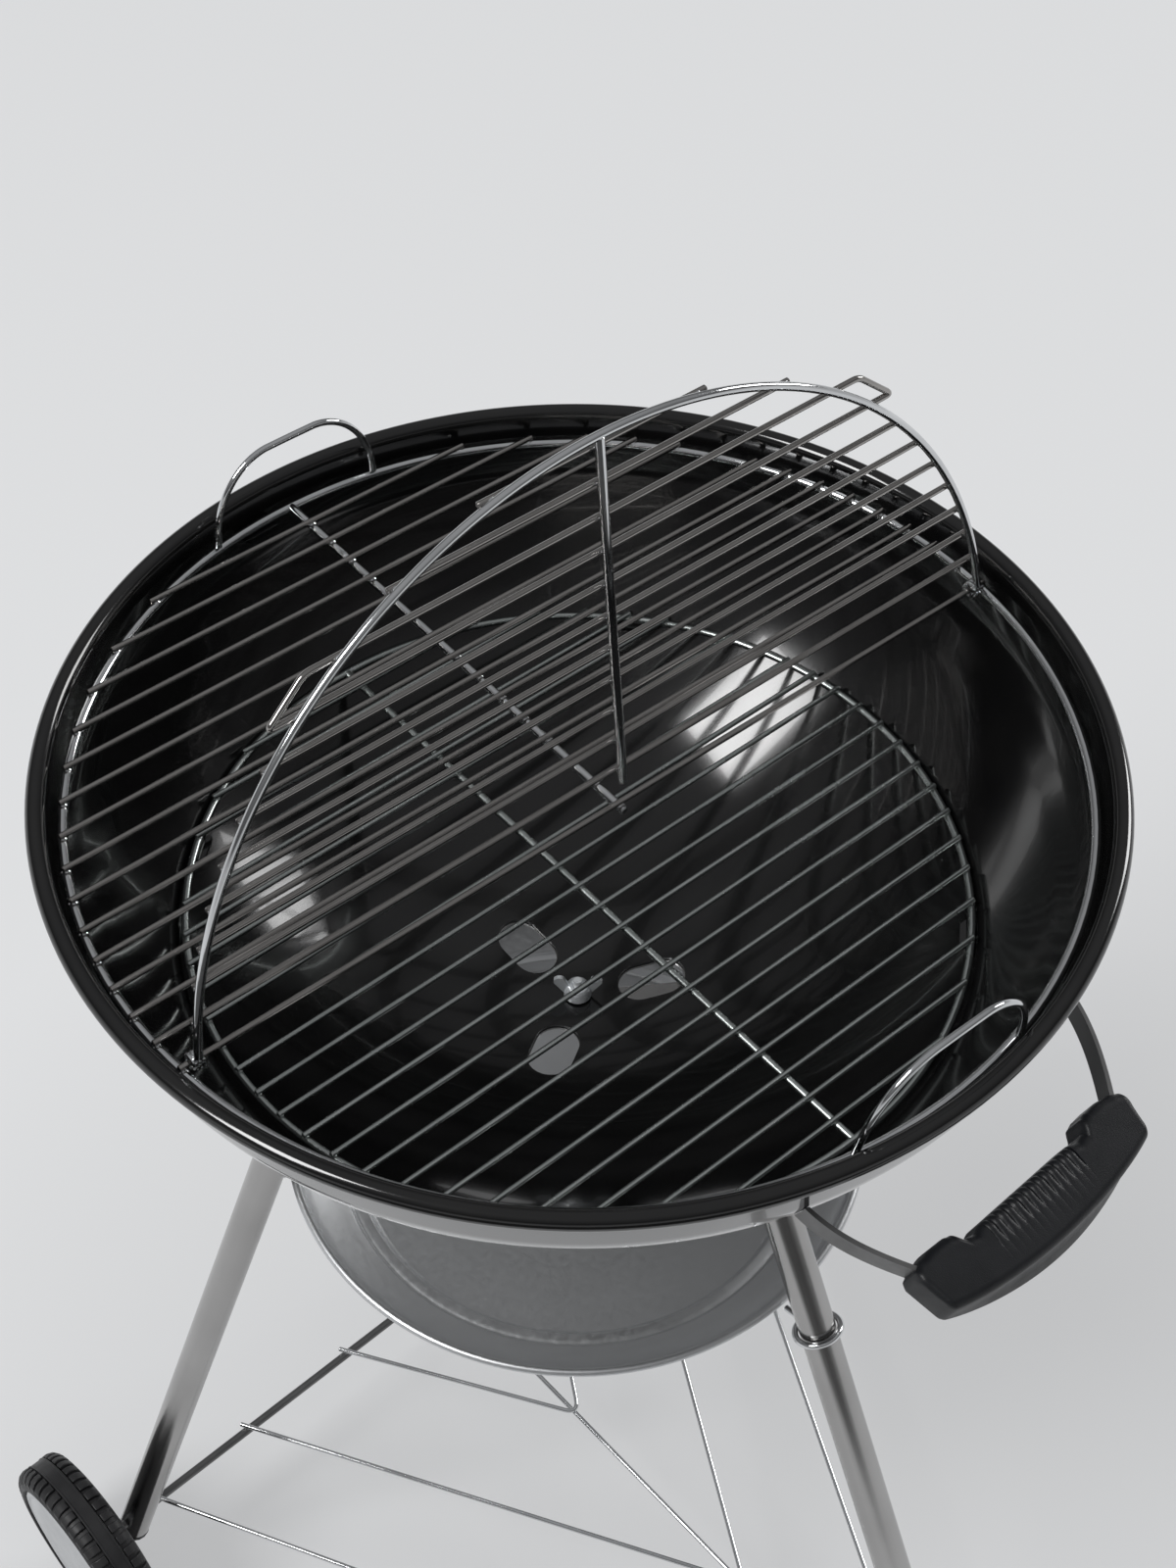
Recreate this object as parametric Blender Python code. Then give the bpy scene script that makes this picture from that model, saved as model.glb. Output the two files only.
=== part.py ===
"""Kettle charcoal grill: lid off, cooking grate in place with its hinged flap raised.

Metres, +Z up, floor at z = 0. Front leg towards -Y, wheel axle along X.
"""
import math

import bmesh
import bpy
from mathutils import Matrix, Vector

# ---- overall layout
GRATE_HEIGHT = 0.790          # plane of the cooking-grate rods above the floor
AXIS_Y = 0.0805               # bowl axis, so that the whole object is centred on the origin
GRATE_TURN = math.radians(-3.0)
CHARCOAL_TURN = math.radians(-2.0)
GAP = 0.0003                  # clearance between touching pieces

# ---- bowl (radii and heights from the rod plane)
RIM_RADIUS = 0.2797
RIM_BEAD = 0.0052
RIM_HEIGHT = 0.0095
WALL = 0.002
BOWL_BOTTOM = -0.200
BODY_SPHERE = 0.300           # outer radius of the wall's sweep
LEDGE_RADIUS = 0.2665         # where the sweep turns into the upright collar
COLLAR_RADIUS = 0.2718
COLLAR_TOP = 0.2775
COLLAR_DROP = 0.026
BOWL_SEGMENTS = 52
BOWL_STEPS = 11
VENT_RADIUS = 0.0443
VENT_LENGTH = 0.040
VENT_WIDTH = 0.026
VENT_ANGLES = (90.0, -30.0, -150.0)
DAMPER_RADIUS = 0.072
DAMPER_WALL = 0.0014
LEVER_REACH = 0.112
LEVER_THICK = 0.002
BOLT_RADIUS = 0.003
NUT_TURN = math.radians(-42.0)

# ---- cooking grate
RING_RADIUS = 0.268
RING_WIRE = 0.0028
ROD_WIRE = 0.00175
BAR_WIRE = 0.0025
WELD = 0.0004                 # how far crossing wires sink into each other
ROD_REACH = 0.0016
ROD_PITCH = 0.0199
HINGE_V = -0.0322             # hinge rod, measured across the rods from the axis
FIXED_RODS = 15
LIFT_WIRE = 0.002
LIFT_HALF_SPAN = 0.054
LIFT_RISE = 0.0535
LIFT_FLAT = 0.014             # half the straight top of an arch
LIFT_SHIFT = 0.0015           # both arches stand this far forward of the ring's crown
LIFT_LEAN = 0.0045
FLAP_ANGLE = math.radians(96.5)
FLAP_RADIUS = 0.2605
FLAP_WIRE = 0.0023
FLAP_RODS = 11
FLAP_FIRST = 0.0243
FLAP_PITCH = 0.0197
EYE_WIRE = 0.0014
LOOP_REACH = 0.2705

# ---- charcoal grate
CHAR_RADIUS = 0.2165
CHAR_HEIGHT = -0.0950
CHAR_RING_WIRE = 0.0022
CHAR_ROD_WIRE = 0.0016
CHAR_BAR_WIRE = 0.0023
CHAR_PITCH = 0.0183

# ---- ash pan
PAN_RADIUS = 0.181
PAN_HEIGHT = -0.3195
PAN_BEAD = 0.0026
PAN_STEP = 0.141
PAN_STEP_HEIGHT = -0.344
PAN_WALL = 0.0015
CLIP_WIRE = 0.002
CLIP_RISE = 0.008

# ---- legs, axle, wheels, rack
LEG_RADIUS = 0.011
SOCKET_WALL = 0.0024
FOOT_RADIUS = 0.0145
FOOT_HEIGHT = 0.030
SIDE_LEG_TOP = (0.146, -0.163)
SIDE_LEG_SLOPE = 0.3255
SIDE_LEG_ANGLE = 27.4
FRONT_LEG_TOP = (0.1402, -0.166)
FRONT_LEG_SLOPE = 0.4694
AXLE_Y = 0.150
AXLE_RADIUS = 0.003
WHEEL_RADIUS = 0.0745
WHEEL_WIDTH = 0.034
WHEEL_INNER = 0.311
RACK_WIRE = 0.00175
RACK_FEET = (0.097, 0.190, 0.2725)
RACK_APEX = (-0.007, -0.182, -0.370)
RACK_BENDS = (0.012, 0.012, 0.026)
RACK_Z = WHEEL_RADIUS - GRATE_HEIGHT + AXLE_RADIUS - RACK_WIRE

# ---- side handle
HANDLE_TURN = math.radians(0.5)
HANDLE_TILT = math.radians(19.0)
HANDLE_REACH = 0.300
HANDLE_HEIGHT = -0.047
STRIP_TALL = 0.013
STRIP_THICK = 0.0024
GRIP_TALL = 0.022
GRIP_SWEEP = 0.300
GRIP_OUTER = 0.038
GRIP_FLARE = 0.0055
GRIP_HALF = 0.0755

BOWL = Vector((0.0, AXIS_Y, GRATE_HEIGHT))
AXLE_HEIGHT = WHEEL_RADIUS - GRATE_HEIGHT


def clear_scene():
    """Remove whatever objects the open file holds."""
    for item in list(bpy.data.objects):
        bpy.data.objects.remove(item, do_unlink=True)


def material(name, color, roughness, metallic=0.0):
    """A plain Principled BSDF material."""
    mat = bpy.data.materials.get(name)
    if mat is None:
        mat = bpy.data.materials.new(name)
        mat.use_nodes = True
        shader = mat.node_tree.nodes["Principled BSDF"]
        shader.inputs["Base Color"].default_value = (*color, 1.0)
        shader.inputs["Roughness"].default_value = roughness
        shader.inputs["Metallic"].default_value = metallic
    return mat


def enamel():
    return material("black_enamel", (0.012, 0.012, 0.013), 0.12)


def plated():
    return material("plated_wire", (0.55, 0.55, 0.56), 0.22, 1.0)


def zinc():
    return material("zinc_wire", (0.40, 0.42, 0.42), 0.38, 1.0)


def pan_metal():
    return material("pan_metal", (0.62, 0.62, 0.63), 0.42, 1.0)


def leg_metal():
    return material("leg_metal", (0.55, 0.55, 0.54), 0.30, 1.0)


def strip_metal():
    return material("strip_metal", (0.42, 0.42, 0.42), 0.40, 1.0)


def black_plastic():
    return material("black_plastic", (0.028, 0.028, 0.032), 0.55)


def cap_plastic():
    return material("cap_plastic", (0.55, 0.55, 0.56), 0.45)


# ---- mesh helpers

def new_object(name, bm, mat, smooth=35.0):
    """Turn a bmesh into a named object with its material and smooth shading."""
    bmesh.ops.remove_doubles(bm, verts=bm.verts, dist=1e-7)
    bmesh.ops.recalc_face_normals(bm, faces=bm.faces)
    mesh = bpy.data.meshes.new(name)
    bm.to_mesh(mesh)
    bm.free()
    mesh.materials.append(mat)
    mesh.shade_smooth()
    mesh.set_sharp_from_angle(angle=math.radians(smooth))
    item = bpy.data.objects.new(name, mesh)
    bpy.context.collection.objects.link(item)
    return item


def add_tube(bm, path, radius, sides=6, closed=False):
    """Sweep a polygon whose flats lie at the wire's radius along a path of points."""
    count = len(path)
    corner = radius / math.cos(math.pi / sides)
    normal = None
    rings = []
    for index, point in enumerate(path):
        if closed:
            tangent = path[(index + 1) % count] - path[index - 1]
        else:
            tangent = path[min(index + 1, count - 1)] - path[max(index - 1, 0)]
        tangent.normalize()
        if normal is None:
            guide = Vector((0, 0, 1)) if abs(tangent.z) < 0.9 else Vector((0, 1, 0))
            normal = guide
        normal = (normal - tangent * normal.dot(tangent)).normalized()
        side = tangent.cross(normal)
        ring = []
        for step in range(sides):
            angle = 2 * math.pi * (step + 0.5) / sides
            offset = normal * math.cos(angle) + side * math.sin(angle)
            ring.append(bm.verts.new(point + offset * corner))
        rings.append(ring)
    spans = count if closed else count - 1
    for index in range(spans):
        near, far = rings[index], rings[(index + 1) % count]
        for step in range(sides):
            other = (step + 1) % sides
            bm.faces.new((near[step], near[other], far[other], far[step]))
    if not closed:
        bm.faces.new(list(reversed(rings[0])))
        bm.faces.new(rings[-1])


def add_lathe(bm, profile, segments):
    """Spin a closed (radius, height) outline about Z; radius 0 becomes a pole."""
    columns = []
    for radius, height in profile:
        if radius < 1e-9:
            columns.append([bm.verts.new((0, 0, height))])
            continue
        column = []
        for step in range(segments):
            angle = 2 * math.pi * step / segments
            column.append(bm.verts.new((radius * math.cos(angle), radius * math.sin(angle), height)))
        columns.append(column)
    for index, near in enumerate(columns):
        far = columns[(index + 1) % len(columns)]
        if len(near) == 1 and len(far) == 1:
            continue
        for step in range(segments):
            other = (step + 1) % segments
            if len(near) == 1:
                bm.faces.new((near[0], far[step], far[other]))
            elif len(far) == 1:
                bm.faces.new((near[step], far[0], near[other]))
            else:
                bm.faces.new((near[step], far[step], far[other], near[other]))


def add_prism(bm, outline, low, high):
    """Extrude a flat (x, y) outline between two heights."""
    bottom = [bm.verts.new((x, y, low)) for x, y in outline]
    top = [bm.verts.new((x, y, high)) for x, y in outline]
    bm.faces.new(list(reversed(bottom)))
    bm.faces.new(top)
    for index in range(len(outline)):
        other = (index + 1) % len(outline)
        bm.faces.new((bottom[index], bottom[other], top[other], top[index]))


def arc_points(center, radius, start, stop, steps):
    """Points of a flat arc, degrees, both ends included."""
    points = []
    for step in range(steps + 1):
        angle = math.radians(start + (stop - start) * step / steps)
        points.append((center[0] + radius * math.cos(angle), center[1] + radius * math.sin(angle)))
    return points


def circle_path(radius, height, segments):
    """A level circle of points about the Z axis."""
    turns = [2 * math.pi * step / segments for step in range(segments)]
    return [Vector((radius * math.cos(a), radius * math.sin(a), height)) for a in turns]


def boolean(base, tool, operation):
    """Apply an exact Boolean with a tool object, which is used up."""
    modifier = base.modifiers.new("Boolean", "BOOLEAN")
    modifier.operation = operation
    modifier.solver = "EXACT"
    modifier.object = tool
    graph = bpy.context.evaluated_depsgraph_get()
    result = bpy.data.meshes.new_from_object(base.evaluated_get(graph))
    base.modifiers.clear()
    base.data = result
    bpy.data.objects.remove(tool, do_unlink=True)
    result.shade_smooth()
    result.set_sharp_from_angle(angle=math.radians(35))
    return base


def tool_from(build, *args):
    """A throw-away object built by one of the add_ functions."""
    bm = bmesh.new()
    build(bm, *args)
    return new_object("tool", bm, enamel())


def place(item, turn=0.0, offset=(0.0, 0.0, 0.0), tilt=None):
    """Set an object in the bowl's frame: turned about the axis, then moved."""
    matrix = Matrix.Translation(BOWL) @ Matrix.Rotation(turn, 4, "Z") @ Matrix.Translation(offset)
    if tilt is not None:
        matrix = matrix @ tilt
    item.matrix_world = matrix
    return item


# ---- bowl

def bowl_curve(offset, steps):
    """The wall from the collar's top to the axis, moved outwards by an offset."""
    radius = BODY_SPHERE + offset
    center = BOWL_BOTTOM + BODY_SPHERE
    start = math.asin(LEDGE_RADIUS / BODY_SPHERE)
    points = [(COLLAR_TOP + offset, 0.004), (COLLAR_RADIUS + offset, -COLLAR_DROP)]
    for step in range(steps + 1):
        angle = start * (1 - step / steps)
        points.append((radius * math.sin(angle), center - radius * math.cos(angle)))
    return points


def bowl_radius(height, offset=0.0):
    """Radius of the bowl's sweep at a height."""
    rise = BOWL_BOTTOM + BODY_SPHERE - height
    return math.sqrt((BODY_SPHERE + offset) ** 2 - rise ** 2)


def obround(length, width, steps=6):
    """A slot outline along X, centred on the origin."""
    half = (length - width) / 2
    right = arc_points((half, 0.0), width / 2, -90, 90, steps)
    left = arc_points((-half, 0.0), width / 2, 90, 270, steps)
    return right + left


def vent_tool(length, width, low, high):
    """Three slot cutters around the axis, pointing outwards."""
    bm = bmesh.new()
    for angle in VENT_ANGLES:
        turn = math.radians(angle)
        outline = []
        for x, y in obround(length, width):
            x += VENT_RADIUS
            outline.append((x * math.cos(turn) - y * math.sin(turn), x * math.sin(turn) + y * math.cos(turn)))
        add_prism(bm, outline, low, high)
    return new_object("tool", bm, enamel())


def make_bowl():
    """Enamelled shell with a rolled rim, three vent slots and a bolt hole."""
    inside = list(reversed(bowl_curve(-WALL, BOWL_STEPS)))
    rim = arc_points((RIM_RADIUS, RIM_HEIGHT), RIM_BEAD, 190, -105, 7)
    bm = bmesh.new()
    add_lathe(bm, inside + rim + bowl_curve(0.0, BOWL_STEPS), BOWL_SEGMENTS)
    bowl = new_object("bowl", bm, enamel())
    boolean(bowl, vent_tool(VENT_LENGTH, VENT_WIDTH, -0.23, -0.15), "DIFFERENCE")
    hole = [(0.0, -0.23), (0.0036, -0.23), (0.0036, -0.17), (0.0, -0.17)]
    boolean(bowl, tool_from(add_lathe, hole, 12), "DIFFERENCE")
    return place(bowl)


def make_brackets():
    """Steel tabs: four that carry the cooking grate, four the charcoal grate."""
    top = -ROD_WIRE - 2 * RING_WIRE + WELD - GAP
    for number, angle in enumerate((-175.0, -85.0, 5.0, 95.0), 1):
        bm = bmesh.new()
        outline = [(0.2632, -0.010), (0.2712, -0.012), (0.2712, 0.012), (0.2632, 0.010)]
        add_prism(bm, outline, top - 0.003, top)
        item = new_object("grate_bracket_%d" % number, bm, enamel())
        place(item, math.radians(angle) + GRATE_TURN)
    top = CHAR_HEIGHT - CHAR_ROD_WIRE - 2 * CHAR_RING_WIRE + WELD - GAP
    for number, angle in enumerate((-140.0, -50.0, 40.0, 130.0), 1):
        bm = bmesh.new()
        outline = [(0.2105, -0.008), (0.2150, -0.010), (0.2150, 0.010), (0.2105, 0.008)]
        add_prism(bm, outline, top - 0.0025, top)
        place(new_object("charcoal_bracket_%d" % number, bm, enamel()), math.radians(angle))


# ---- damper

def damper_curve(offset):
    """The bowl's own facets from the damper's edge to the axis."""
    curve = bowl_curve(offset, BOWL_STEPS)[-4:]
    share = (DAMPER_RADIUS - curve[1][0]) / (curve[0][0] - curve[1][0])
    edge = curve[1][1] + (curve[0][1] - curve[1][1]) * share
    return [(DAMPER_RADIUS, edge)] + curve[1:]


def make_damper():
    """Curved rotary damper under the bowl, with its lever, bolt and wing nut."""
    bm = bmesh.new()
    add_lathe(bm, damper_curve(GAP) + list(reversed(damper_curve(GAP + DAMPER_WALL))), BOWL_SEGMENTS)
    plate = new_object("damper_plate", bm, leg_metal())
    boolean(plate, vent_tool(VENT_LENGTH - 0.001, VENT_WIDTH - 0.001, -0.23, -0.15), "DIFFERENCE")
    hole = [(0.0, -0.23), (0.0036, -0.23), (0.0036, -0.17), (0.0, -0.17)]
    boolean(plate, tool_from(add_lathe, hole, 12), "DIFFERENCE")
    place(plate)

    top = BOWL_BOTTOM - 2 * GAP - DAMPER_WALL
    bm = bmesh.new()
    outline = [(0.0045, -0.006), (0.026, -0.006), (LEVER_REACH, -0.005),
               (LEVER_REACH, 0.005), (0.026, 0.006), (0.0045, 0.006)]
    add_prism(bm, outline, top - LEVER_THICK, top)
    lever = new_object("damper_lever", bm, leg_metal())
    place(lever, math.radians(-35.0))

    bm = bmesh.new()
    low = top - LEVER_THICK - GAP
    add_lathe(bm, [(0.0, low - 0.004), (0.0058, low - 0.004), (0.0058, low), (BOLT_RADIUS, low),
                   (BOLT_RADIUS, BOWL_BOTTOM + 0.016), (0.0, BOWL_BOTTOM + 0.016)], 12)
    place(new_object("damper_bolt", bm, zinc()))

    seat = BOWL_BOTTOM + WALL + 3 * GAP
    bm = bmesh.new()
    add_lathe(bm, [(0.0033, seat), (0.0082, seat), (0.0066, seat + 0.009), (0.0033, seat + 0.009)], 16)
    nut = new_object("wing_nut", bm, zinc())
    for side in (1, -1):
        outline = [(0.0045, 0.001), (0.011, 0.004), (0.0175, 0.013), (0.0165, 0.0165), (0.0125, 0.0165),
                   (0.0060, 0.0075), (0.0045, 0.0075)]
        ear = tool_from(add_prism, outline, -0.0013, 0.0013)
        ear.matrix_world = Matrix.Translation((0, 0, seat)) @ Matrix.Rotation(
            0.0 if side > 0 else math.pi, 4, "Z") @ Matrix.Rotation(math.pi / 2, 4, "X")
        boolean(nut, ear, "UNION")
    place(nut, NUT_TURN)


# ---- grates

def rod_path(v, reach, height):
    """A straight rod across a grate at distance v from the axis."""
    half = math.sqrt(reach ** 2 - v ** 2)
    return [Vector((-half, v, height)), Vector((half, v, height))]


def make_cooking_grate():
    """Ring, fifteen rods on top of it and a cross bar below: the fixed part."""
    bm = bmesh.new()
    for number in range(FIXED_RODS):
        v = HINGE_V + number * ROD_PITCH
        half = math.sqrt((RING_RADIUS + ROD_REACH) ** 2 - v ** 2)
        add_tube(bm, [Vector((-half, v, 0)), Vector((half, v, 0))], ROD_WIRE)
    grate = new_object("cooking_grate", bm, plated())
    drop = ROD_WIRE + RING_WIRE - WELD
    boolean(grate, tool_from(add_tube, circle_path(RING_RADIUS, -drop, 56), RING_WIRE, 6, True), "UNION")
    drop = ROD_WIRE + BAR_WIRE - WELD
    bar = [Vector((0, HINGE_V - 0.004, -drop)), Vector((0, RING_RADIUS, -drop))]
    boolean(grate, tool_from(add_tube, bar, BAR_WIRE), "UNION")
    return place(grate, GRATE_TURN)


def make_lift_handles():
    """Upright wire arches on the grate's ring, front and rear."""
    foot_v = math.sqrt(RING_RADIUS ** 2 - LIFT_HALF_SPAN ** 2)
    foot_z = -ROD_WIRE + WELD + 2 * GAP
    for name, side, lean in (("grate_lift_front", -1, -LIFT_LEAN), ("grate_lift_rear", 1, 0.0)):
        path = []
        for x, rise in arc_points((0.0, 0.0), 1.0, 180, 0, 18):
            flat = math.copysign(LIFT_FLAT, x) if abs(x) > 0.01 else 0.0
            path.append(Vector((flat + (LIFT_HALF_SPAN - LIFT_FLAT) * x,
                                side * foot_v - LIFT_SHIFT + lean * rise, foot_z + LIFT_RISE * rise)))
        bm = bmesh.new()
        add_tube(bm, path, LIFT_WIRE)
        place(new_object(name, bm, plated()), GRATE_TURN)


def make_flap():
    """Hinged grate segment: arc, rods, cross bar, lifting loops and hinge eyes."""
    drop = ROD_WIRE + FLAP_WIRE - WELD
    spots = [FLAP_FIRST + FLAP_PITCH * number for number in range(FLAP_RODS)]
    bm = bmesh.new()
    for number, s in enumerate(spots):
        if number in (7, 8):
            continue
        v = s - HINGE_V
        half = math.sqrt((FLAP_RADIUS + 0.0016) ** 2 - v ** 2)
        add_tube(bm, [Vector((-half, -s, 0)), Vector((half, -s, 0))], ROD_WIRE)
    near, far = spots[7], spots[8]
    corner = 0.004
    reach_near = math.sqrt(LOOP_REACH ** 2 - (near - HINGE_V) ** 2)
    reach_far = math.sqrt(LOOP_REACH ** 2 - (far - HINGE_V) ** 2)
    outline = [Vector((reach_near, -near, 0)), Vector((reach_far, -far, 0)),
               Vector((-reach_far, -far, 0)), Vector((-reach_near, -near, 0))]
    path = []
    for index, point in enumerate(outline):
        before = (outline[index - 1] - point).normalized() * corner
        after = (outline[(index + 1) % 4] - point).normalized() * corner
        for amount in (0.0, 0.25, 0.5, 0.75, 1.0):
            path.append(point + before * (1 - amount) ** 2 + after * amount ** 2)
    add_tube(bm, path, ROD_WIRE, 6, True)
    flap = new_object("cooking_grate_flap", bm, plated())

    start = math.degrees(math.asin((HINGE_V - 0.0035) / FLAP_RADIUS))
    arc = []
    for x, y in arc_points((0.0, -HINGE_V), FLAP_RADIUS, start, -180 - start, 36):
        arc.append(Vector((x, y, -drop)))
    boolean(flap, tool_from(add_tube, arc, FLAP_WIRE), "UNION")
    bar_drop = ROD_WIRE + BAR_WIRE - WELD
    bar = [Vector((0, -0.0165, -bar_drop)), Vector((0, -(FLAP_RADIUS + HINGE_V), -bar_drop))]
    boolean(flap, tool_from(add_tube, bar, BAR_WIRE), "UNION")
    across = math.sqrt(FLAP_RADIUS ** 2 - HINGE_V ** 2)
    for side in (-1, 1):
        eye = [Vector((side * across, 0.0040 * math.cos(a), 0.0040 * math.sin(a)))
               for a in [2 * math.pi * step / 12 for step in range(12)]]
        boolean(flap, tool_from(add_tube, eye, EYE_WIRE, 6, True), "UNION")
    tilt = Matrix.Rotation(-FLAP_ANGLE, 4, "X")
    return place(flap, GRATE_TURN, (0.0, HINGE_V, 0.0), tilt)


def make_charcoal_grate():
    """Zinc-plated grate that holds the coals: ring, rods on top, bar below."""
    bm = bmesh.new()
    for number in range(-11, 12):
        v = -0.0017 + number * CHAR_PITCH
        add_tube(bm, rod_path(v, CHAR_RADIUS + 0.0012, 0.0), CHAR_ROD_WIRE)
    grate = new_object("charcoal_grate", bm, zinc())
    drop = CHAR_ROD_WIRE + CHAR_RING_WIRE - WELD
    ring = circle_path(CHAR_RADIUS, -drop, 48)
    boolean(grate, tool_from(add_tube, ring, CHAR_RING_WIRE, 6, True), "UNION")
    drop = CHAR_ROD_WIRE + CHAR_BAR_WIRE - WELD
    bar = [Vector((0, -CHAR_RADIUS, -drop)), Vector((0, CHAR_RADIUS, -drop))]
    boolean(grate, tool_from(add_tube, bar, CHAR_BAR_WIRE), "UNION")
    return place(grate, CHARCOAL_TURN, (0.0, 0.0, CHAR_HEIGHT))


# ---- ash pan

def pan_profile(offset):
    """Upper or lower face of the pan from the rim to the axis."""
    rim = PAN_RADIUS - PAN_BEAD
    return [(rim, PAN_HEIGHT - offset),
            (0.172, PAN_HEIGHT - 0.010 - offset),
            (0.160, PAN_HEIGHT - 0.018 - offset),
            (PAN_STEP + 0.004, PAN_STEP_HEIGHT - offset),
            (PAN_STEP - 0.001, PAN_STEP_HEIGHT - 0.001 - offset),
            (PAN_STEP - 0.004, PAN_STEP_HEIGHT - 0.006 - offset),
            (0.100, PAN_STEP_HEIGHT - 0.013 - offset),
            (0.0, PAN_STEP_HEIGHT - 0.015 - offset)]


def make_ash_pan():
    """Shallow round pan with a rolled rim and a stepped floor."""
    bead = arc_points((PAN_RADIUS - PAN_BEAD, PAN_HEIGHT), PAN_BEAD, 180, -60, 5)
    inside = list(reversed(pan_profile(0.0)))
    profile = inside[:-1] + bead + pan_profile(PAN_WALL)[1:]
    bm = bmesh.new()
    add_lathe(bm, profile, 40)
    return place(new_object("ash_pan", bm, pan_metal()))


def leg_line(name):
    """Top and foot of a leg's axis, in the bowl's frame."""
    if name == "front":
        radius, height = FRONT_LEG_TOP
        slope, angle, low = FRONT_LEG_SLOPE, -90.0, 0.012 - GRATE_HEIGHT
    else:
        radius, height = SIDE_LEG_TOP
        slope, low = SIDE_LEG_SLOPE, AXLE_HEIGHT - 0.014
        angle = SIDE_LEG_ANGLE if name == "right" else 180.0 - SIDE_LEG_ANGLE
    outward = Vector((math.cos(math.radians(angle)), math.sin(math.radians(angle)), 0))
    top = outward * radius + Vector((0, 0, height))
    foot = outward * (radius + slope * (height - low)) + Vector((0, 0, low))
    return top, foot


def bowl_block(grow):
    """A solid of the bowl's outer shape, for trimming what meets it."""
    bm = bmesh.new()
    add_lathe(bm, [(0.0, 0.004)] + bowl_curve(grow, BOWL_STEPS), BOWL_SEGMENTS)
    return new_object("tool", bm, enamel())


def make_leg(name):
    """One leg tube with its welded socket."""
    top, foot = leg_line(name)
    down = (foot - top).normalized()
    bm = bmesh.new()
    add_tube(bm, [top - down * 0.02, foot], LEG_RADIUS, 16)
    leg = new_object("leg_" + name, bm, leg_metal())
    boolean(leg, bowl_block(GAP), "DIFFERENCE")
    bm = bmesh.new()
    add_tube(bm, [top - down * 0.03, top + down * 0.038], LEG_RADIUS + SOCKET_WALL, 16)
    socket = new_object("leg_socket_" + name, bm, enamel())
    bore = [top - down * 0.06, top + down * 0.06]
    boolean(socket, tool_from(add_tube, bore, LEG_RADIUS + 2 * GAP, 16), "DIFFERENCE")
    boolean(socket, bowl_block(GAP), "DIFFERENCE")
    place(socket)
    if name == "front":
        hole = [Vector((0, 0, RACK_Z)), Vector((0, -0.6, RACK_Z))]
        boolean(leg, tool_from(add_tube, hole, RACK_WIRE + 2 * GAP, 12), "DIFFERENCE")
    else:
        hole = [Vector((-0.6, AXLE_Y, AXLE_HEIGHT)), Vector((0.6, AXLE_Y, AXLE_HEIGHT))]
        boolean(leg, tool_from(add_tube, hole, AXLE_RADIUS + 2 * GAP, 12), "DIFFERENCE")
    place(leg)


def make_leg_end(name):
    """Moulded foot of the front leg or plug of a wheel leg."""
    top, foot = leg_line(name)
    down = (foot - top).normalized()
    bm = bmesh.new()
    if name == "front":
        drop = GRATE_HEIGHT + foot.z
        center = foot + down * (drop / -down.z)
        outline = arc_points((center.x, center.y + 0.002), FOOT_RADIUS, 0, 342, 19)
        add_prism(bm, outline, -GRATE_HEIGHT, FOOT_HEIGHT - GRATE_HEIGHT)
        cap = new_object("leg_foot_front", bm, black_plastic())
        bore = [top, foot + down * GAP]
        boolean(cap, tool_from(add_tube, bore, LEG_RADIUS + GAP, 16), "DIFFERENCE")
    else:
        add_tube(bm, [foot + down * GAP, foot + down * 0.0035], LEG_RADIUS, 16)
        cap = new_object("leg_plug_" + name, bm, black_plastic())
    place(cap)


def make_pan_clip(name):
    """Wire that holds the pan's rim to a leg: a stub, and a ring round the front leg."""
    top, foot = leg_line(name)
    down = (foot - top).normalized()
    rise = CLIP_RISE if name == "front" else 0.0
    center = top.lerp(foot, (top.z - PAN_HEIGHT - rise) / (top.z - foot.z))
    outward = Vector((center.x, center.y, 0)).normalized()
    rim = outward * (PAN_RADIUS + CLIP_WIRE + GAP) + Vector((0, 0, PAN_HEIGHT))
    bm = bmesh.new()
    if name == "front":
        across = Vector((1, 0, 0))
        back = down.cross(across).normalized()
        radius = LEG_RADIUS + CLIP_WIRE + 2 * GAP
        turns = [2 * math.pi * step / 24 for step in range(24)]
        ring = [center + (across * math.cos(a) + back * math.sin(a)) * radius for a in turns]
        add_tube(bm, ring, CLIP_WIRE, 6, True)
        inner = center - back * radius
        clip = new_object("pan_clip_front", bm, plated())
        boolean(clip, tool_from(add_tube, [rim, inner], CLIP_WIRE), "UNION")
    else:
        add_tube(bm, [rim, center], CLIP_WIRE)
        clip = new_object("pan_clip_" + name, bm, plated())
        boolean(clip, tool_from(add_tube, [top, foot], LEG_RADIUS + 2 * GAP, 16), "DIFFERENCE")
    place(clip)


# ---- axle, wheels and rack

def make_axle():
    """Steel axle through both wheel legs."""
    half = WHEEL_INNER + 0.0295
    bm = bmesh.new()
    add_tube(bm, [Vector((-half, AXLE_Y, AXLE_HEIGHT)), Vector((half, AXLE_Y, AXLE_HEIGHT))], AXLE_RADIUS, 12)
    place(new_object("axle", bm, strip_metal()))


def wheel_outline():
    """Section of the wheel: (radius, distance from the inner face)."""
    wide = WHEEL_WIDTH
    bore = AXLE_RADIUS + 2 * GAP
    return [(bore, -0.002), (0.011, -0.002), (0.011, 0.004), (0.056, 0.004), (0.060, 0.0), (0.069, 0.0),
            (0.0728, 0.003), (WHEEL_RADIUS, 0.009), (WHEEL_RADIUS, wide - 0.009), (0.0728, wide - 0.003),
            (0.069, wide), (0.0625, wide), (0.0612, wide - 0.004), (bore, wide - 0.004)]


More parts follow.
